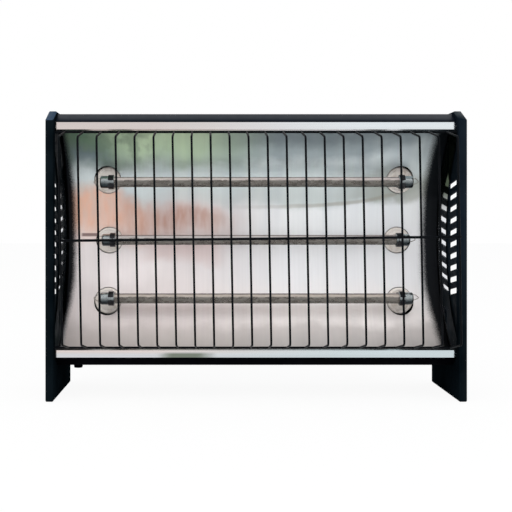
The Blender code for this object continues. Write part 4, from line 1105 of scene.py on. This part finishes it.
# The wires' lean as a share of their height, and the guard's place to the right
GUARD_LEAN = 0.018
GUARD_SHIFT = 0.0018
GUARD_WIRES = 22
GUARD_BEND = 0.004
MIDDLE_WIRE_RISE = 0.0018
MIDDLE_WIRE_TILT = radians(0.56)
CROSSING_WELD = (0.0012, 0.0007, 0.0014)
RAIL_WELD = (0.0015, 0.0012, 0.0012)


def make_guard(paint):
    """Bent wires that lean a little, welded to two rails and to one long wire in the middle."""
    low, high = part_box("wire_guard")
    middle = centre("reflector").z
    outer_x = 0.1824
    wire, rail, long_wire = 0.0010, 0.00115, 0.0012
    rail_y = cad_low.y + 0.0410
    front_y = cad_low.y + wire
    rail_half, corner_half = 0.1032, 0.0953
    outline = [(rail_y, -rail_half), (front_y, -corner_half)]
    outline += [(y, -z) for y, z in reversed(outline)]
    slope = tan(MIDDLE_WIRE_TILT)
    crossing_y = front_y + 0.0016
    shapes = []
    for index in range(GUARD_WIRES):
        start = outer_x * (2 * index / (GUARD_WIRES - 1) - 1) + GUARD_SHIFT
        corners = [(start - GUARD_LEAN * z, y, middle + z) for y, z in outline]
        shapes.append(tube(rounded(corners, GUARD_BEND, 8), wire, 14))
        crossing = MIDDLE_WIRE_RISE + (start - GUARD_SHIFT) * slope
        place = (start - GUARD_LEAN * crossing, front_y + 0.0010, middle + crossing)
        shapes.append(weld(place, CROSSING_WELD))
        for end in (-1, 1):
            height = end * rail_half
            place = (start - GUARD_LEAN * height, rail_y - 0.0004, middle + height)
            shapes.append(weld(place, RAIL_WELD))
    for end in (-1, 1):
        z = middle + end * rail_half
        shapes.append(tube([(x, rail_y, z) for x in (low.x, 0, high.x)], rail, 16))
    reach = outer_x + 0.0026 - long_wire * 0.8
    rise = middle + MIDDLE_WIRE_RISE
    line = [(GUARD_SHIFT + x, crossing_y, rise + x * slope) for x in (-reach, 0, reach)]
    shapes.append(tube(line, long_wire, 16, dome=True))
    mesh = mesh_of(shapes)
    add("rods", mesh, [paint], ["wire_guard"], sharp=60)


def weld(place, radii):
    """A small lump of weld with the given half sizes."""
    profile = [(sin(pi * step / 6), -cos(pi * step / 6)) for step in range(7)]
    profile[0] = (0, -1)
    profile[-1] = (0, 1)
    matrix = Matrix.Translation(place) @ Matrix.Diagonal((*radii, 1))
    return turned(profile, 10, matrix)


# Fasteners and the gland


def screw_mesh(profile, head_top):
    """A turned screw with a cross recess in its head, its head at local +Z."""
    mesh = mesh_of([turned(profile, 32, Matrix())])
    reach, half, depth = 0.0019, 0.00042, 0.0012
    outline = []
    for quarter in range(4):
        turn = Matrix.Rotation(quarter * pi / 2, 2)
        for x, y in ((reach, -half), (reach, half), (half * 1.3, half * 1.3)):
            outline.append(turn @ Vector((x, y)))
    count = len(outline)
    corners = [Vector((x, y, z)) for z in (head_top - depth, head_top + depth) for x, y in outline]
    faces = side_faces(count)
    centre_low, centre_high = 2 * count, 2 * count + 1
    corners += [Vector((0, 0, head_top - depth)), Vector((0, 0, head_top + depth))]
    for index in range(count):
        following = (index + 1) % count
        faces.append((index, following, centre_low))
        faces.append((count + index, count + following, centre_high))
    return less(mesh, mesh_of([(corners, faces)]))


def add_screw(node, shape, head, turn, spin, paint):
    """A copy of the screw with its head at a place, spun about its axis."""
    mesh = shape.copy()
    mesh.transform(Matrix.Translation(head) @ turn @ Matrix.Rotation(spin, 4, "Z"))
    add("head", mesh, [paint], [node], sharp=30)


def make_screws(paint):
    """Eight flush screws in the side panels and four round-headed ones in the back."""
    shank, pan_top = 0.00175, 0.0019
    countersunk = [
        (0, 0), (0.0031, 0), (0.0034, -0.0001), (0.0035, -0.0004), (shank, -0.0020),
        (shank, -0.0138), (0, -0.0140),
    ]
    pan = [
        (0, pan_top), (0.0016, 0.00185), (0.0026, 0.0015), (0.0032, 0.0009), (0.0035, 0.0003),
        (0.0034, 0), (shank, 0), (shank, -0.0083), (0, -0.0085),
    ]
    flat_head = screw_mesh(countersunk, 0)
    round_head = screw_mesh(pan, pan_top)
    to_back = FACING_FRONT.inverted()
    for side, sign in SIDES.items():
        turn = Euler((0, sign * pi / 2, 0)).to_matrix().to_4x4()
        for end in ENDS:
            for place in ("front", "rear"):
                node = f"panel_screw_{side}_{end}_{place}"
                low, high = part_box(node)
                head = centre(node)
                head.x = high.x if sign > 0 else low.x
                spin = 0.5 + 1.3 * head.y / 0.07 + head.z
                add_screw(node, flat_head, head, turn, spin, paint)
            node = f"rear_screw_{side}_{end}"
            head = centre(node)
            head.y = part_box(node)[1].y - pan_top
            spin = 0.3 + sign * 0.4 + head.z * 5
            add_screw(node, round_head, head, to_back, spin, paint)


def make_gland(paint):
    """Snap-in bush with a through bore, for a cord that isn't shown."""
    low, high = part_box("cord_gland")
    middle = centre("cord_gland")
    bore, neck, flange, barb = 0.0032, 0.0041, 0.0058, 0.0048
    under_flange, barb_top, barb_low = high.z - 0.0035, 0.0311, 0.0274
    profile = rounded(
        [
            (flange, high.z), (flange, under_flange), (neck, under_flange),
            (neck, barb_top), (barb, barb_top), (barb, barb_low), (neck, low.z),
            (bore, low.z), (bore, high.z),
        ],
        0.0003, 3, closed=True,
    )
    place = Matrix.Translation((middle.x, middle.y, 0))
    mesh = mesh_of([turned(profile, 40, place, closed=True)])
    add("bush", mesh, [paint], ["cord_gland"], sharp=45)


add_camera()
add_world()
add_floor()
add_light("key", (-0.7, -1.4, 1.7), width=3.0, watts=26, colour=(1.0, 0.98, 0.96))
add_light("fill", (1.6, -1.2, 1.0), width=2.4, watts=14, colour=(0.95, 0.98, 1.0))
scene.view_settings.view_transform = "Standard"

panel_plastic = panel_paint()
black_paint = moulded("black_paint", (0.0028, 0.0040, 0.0065), (0.0060, 0.0080, 0.0125),
                      roughness=0.38, specular=0.12, grain=700, depth=0.00002)
pan_paint = moulded("pan_paint", (0.0005, 0.0005, 0.0012), (0.0012, 0.0012, 0.0024),
                    roughness=0.60, specular=0.002, grain=700, depth=0.00002)
guard_paint = moulded("guard_paint", (0.0020, 0.0026, 0.0036), (0.0045, 0.0055, 0.0070),
                      roughness=0.45, specular=0.03, grain=900)
switch_plastic = moulded("switch_plastic", (0.010, 0.010, 0.011), (0.016, 0.016, 0.017),
                         roughness=0.3, specular=0.3, grain=2500, depth=0.00001)
rocker_plastic = moulded("rocker_plastic", (0.012, 0.012, 0.013), (0.020, 0.020, 0.021),
                         roughness=0.24, specular=0.4, grain=3000, depth=0.000005)
block_plastic = moulded("block_plastic", (0.72, 0.70, 0.64), (0.80, 0.78, 0.73),
                        roughness=0.4, specular=0.4)
wire_sleeve = moulded("wire_sleeve", (0.62, 0.58, 0.50), (0.74, 0.70, 0.62),
                      roughness=0.6, specular=0.3)
plated_steel = metal("plated_steel", (0.52, 0.53, 0.55), (0.66, 0.67, 0.69), roughness=0.3)
screw_steel = metal("screw_steel", (0.42, 0.42, 0.44), (0.58, 0.58, 0.60), roughness=0.28)
clip_steel = metal("clip_steel", (0.015, 0.016, 0.018), (0.05, 0.05, 0.055), roughness=0.35)
lead_nickel = metal("lead_nickel", (0.40, 0.38, 0.35), (0.60, 0.57, 0.52), roughness=0.32)
coil_alloy = metal("coil_alloy", (0.060, 0.048, 0.040), (0.15, 0.12, 0.10), roughness=0.5)
ceramic = ceramic_paint()

make_reflector(reflector_paint(), lip_paint())
for row_name in ROWS:
    make_tube(row_name, glass_paint(row_name))
    make_coil(row_name, coil_alloy)
    cap_nickel = cap_paint(row_name)
    for side_name in SIDES:
        make_cap(row_name, side_name, cap_nickel)
        make_clip(row_name, side_name, clip_steel)
        make_holder(row_name, side_name, ceramic)
        make_lead(row_name, side_name, lead_nickel)
make_guard(guard_paint)
make_screws(screw_steel)
make_gland(pan_paint)
for side_name in SIDES:
    soften(f"side_panel_{side_name}", panel_plastic, 0.0004)
    soften(f"holder_rail_{side_name}", plated_steel)
soften("top_cover", casing_paint())
soften("rear_panel", black_paint)
soften("base_pan", pan_paint)
for place_name in ("front", "rear"):
    soften(f"switch_housing_{place_name}", switch_plastic)
    soften(f"rocker_{place_name}", rocker_plastic, 0.0004,
           body=f"{place_name}_rocker", segments=3)
soften("terminal_block", block_plastic, 0.0004)
soften("thermal_cutout", switch_plastic)
for node_name in ("wire_block_to_cutout", "wire_cutout_to_switch"):
    soften(node_name, wire_sleeve, 0.0001, angle=80)
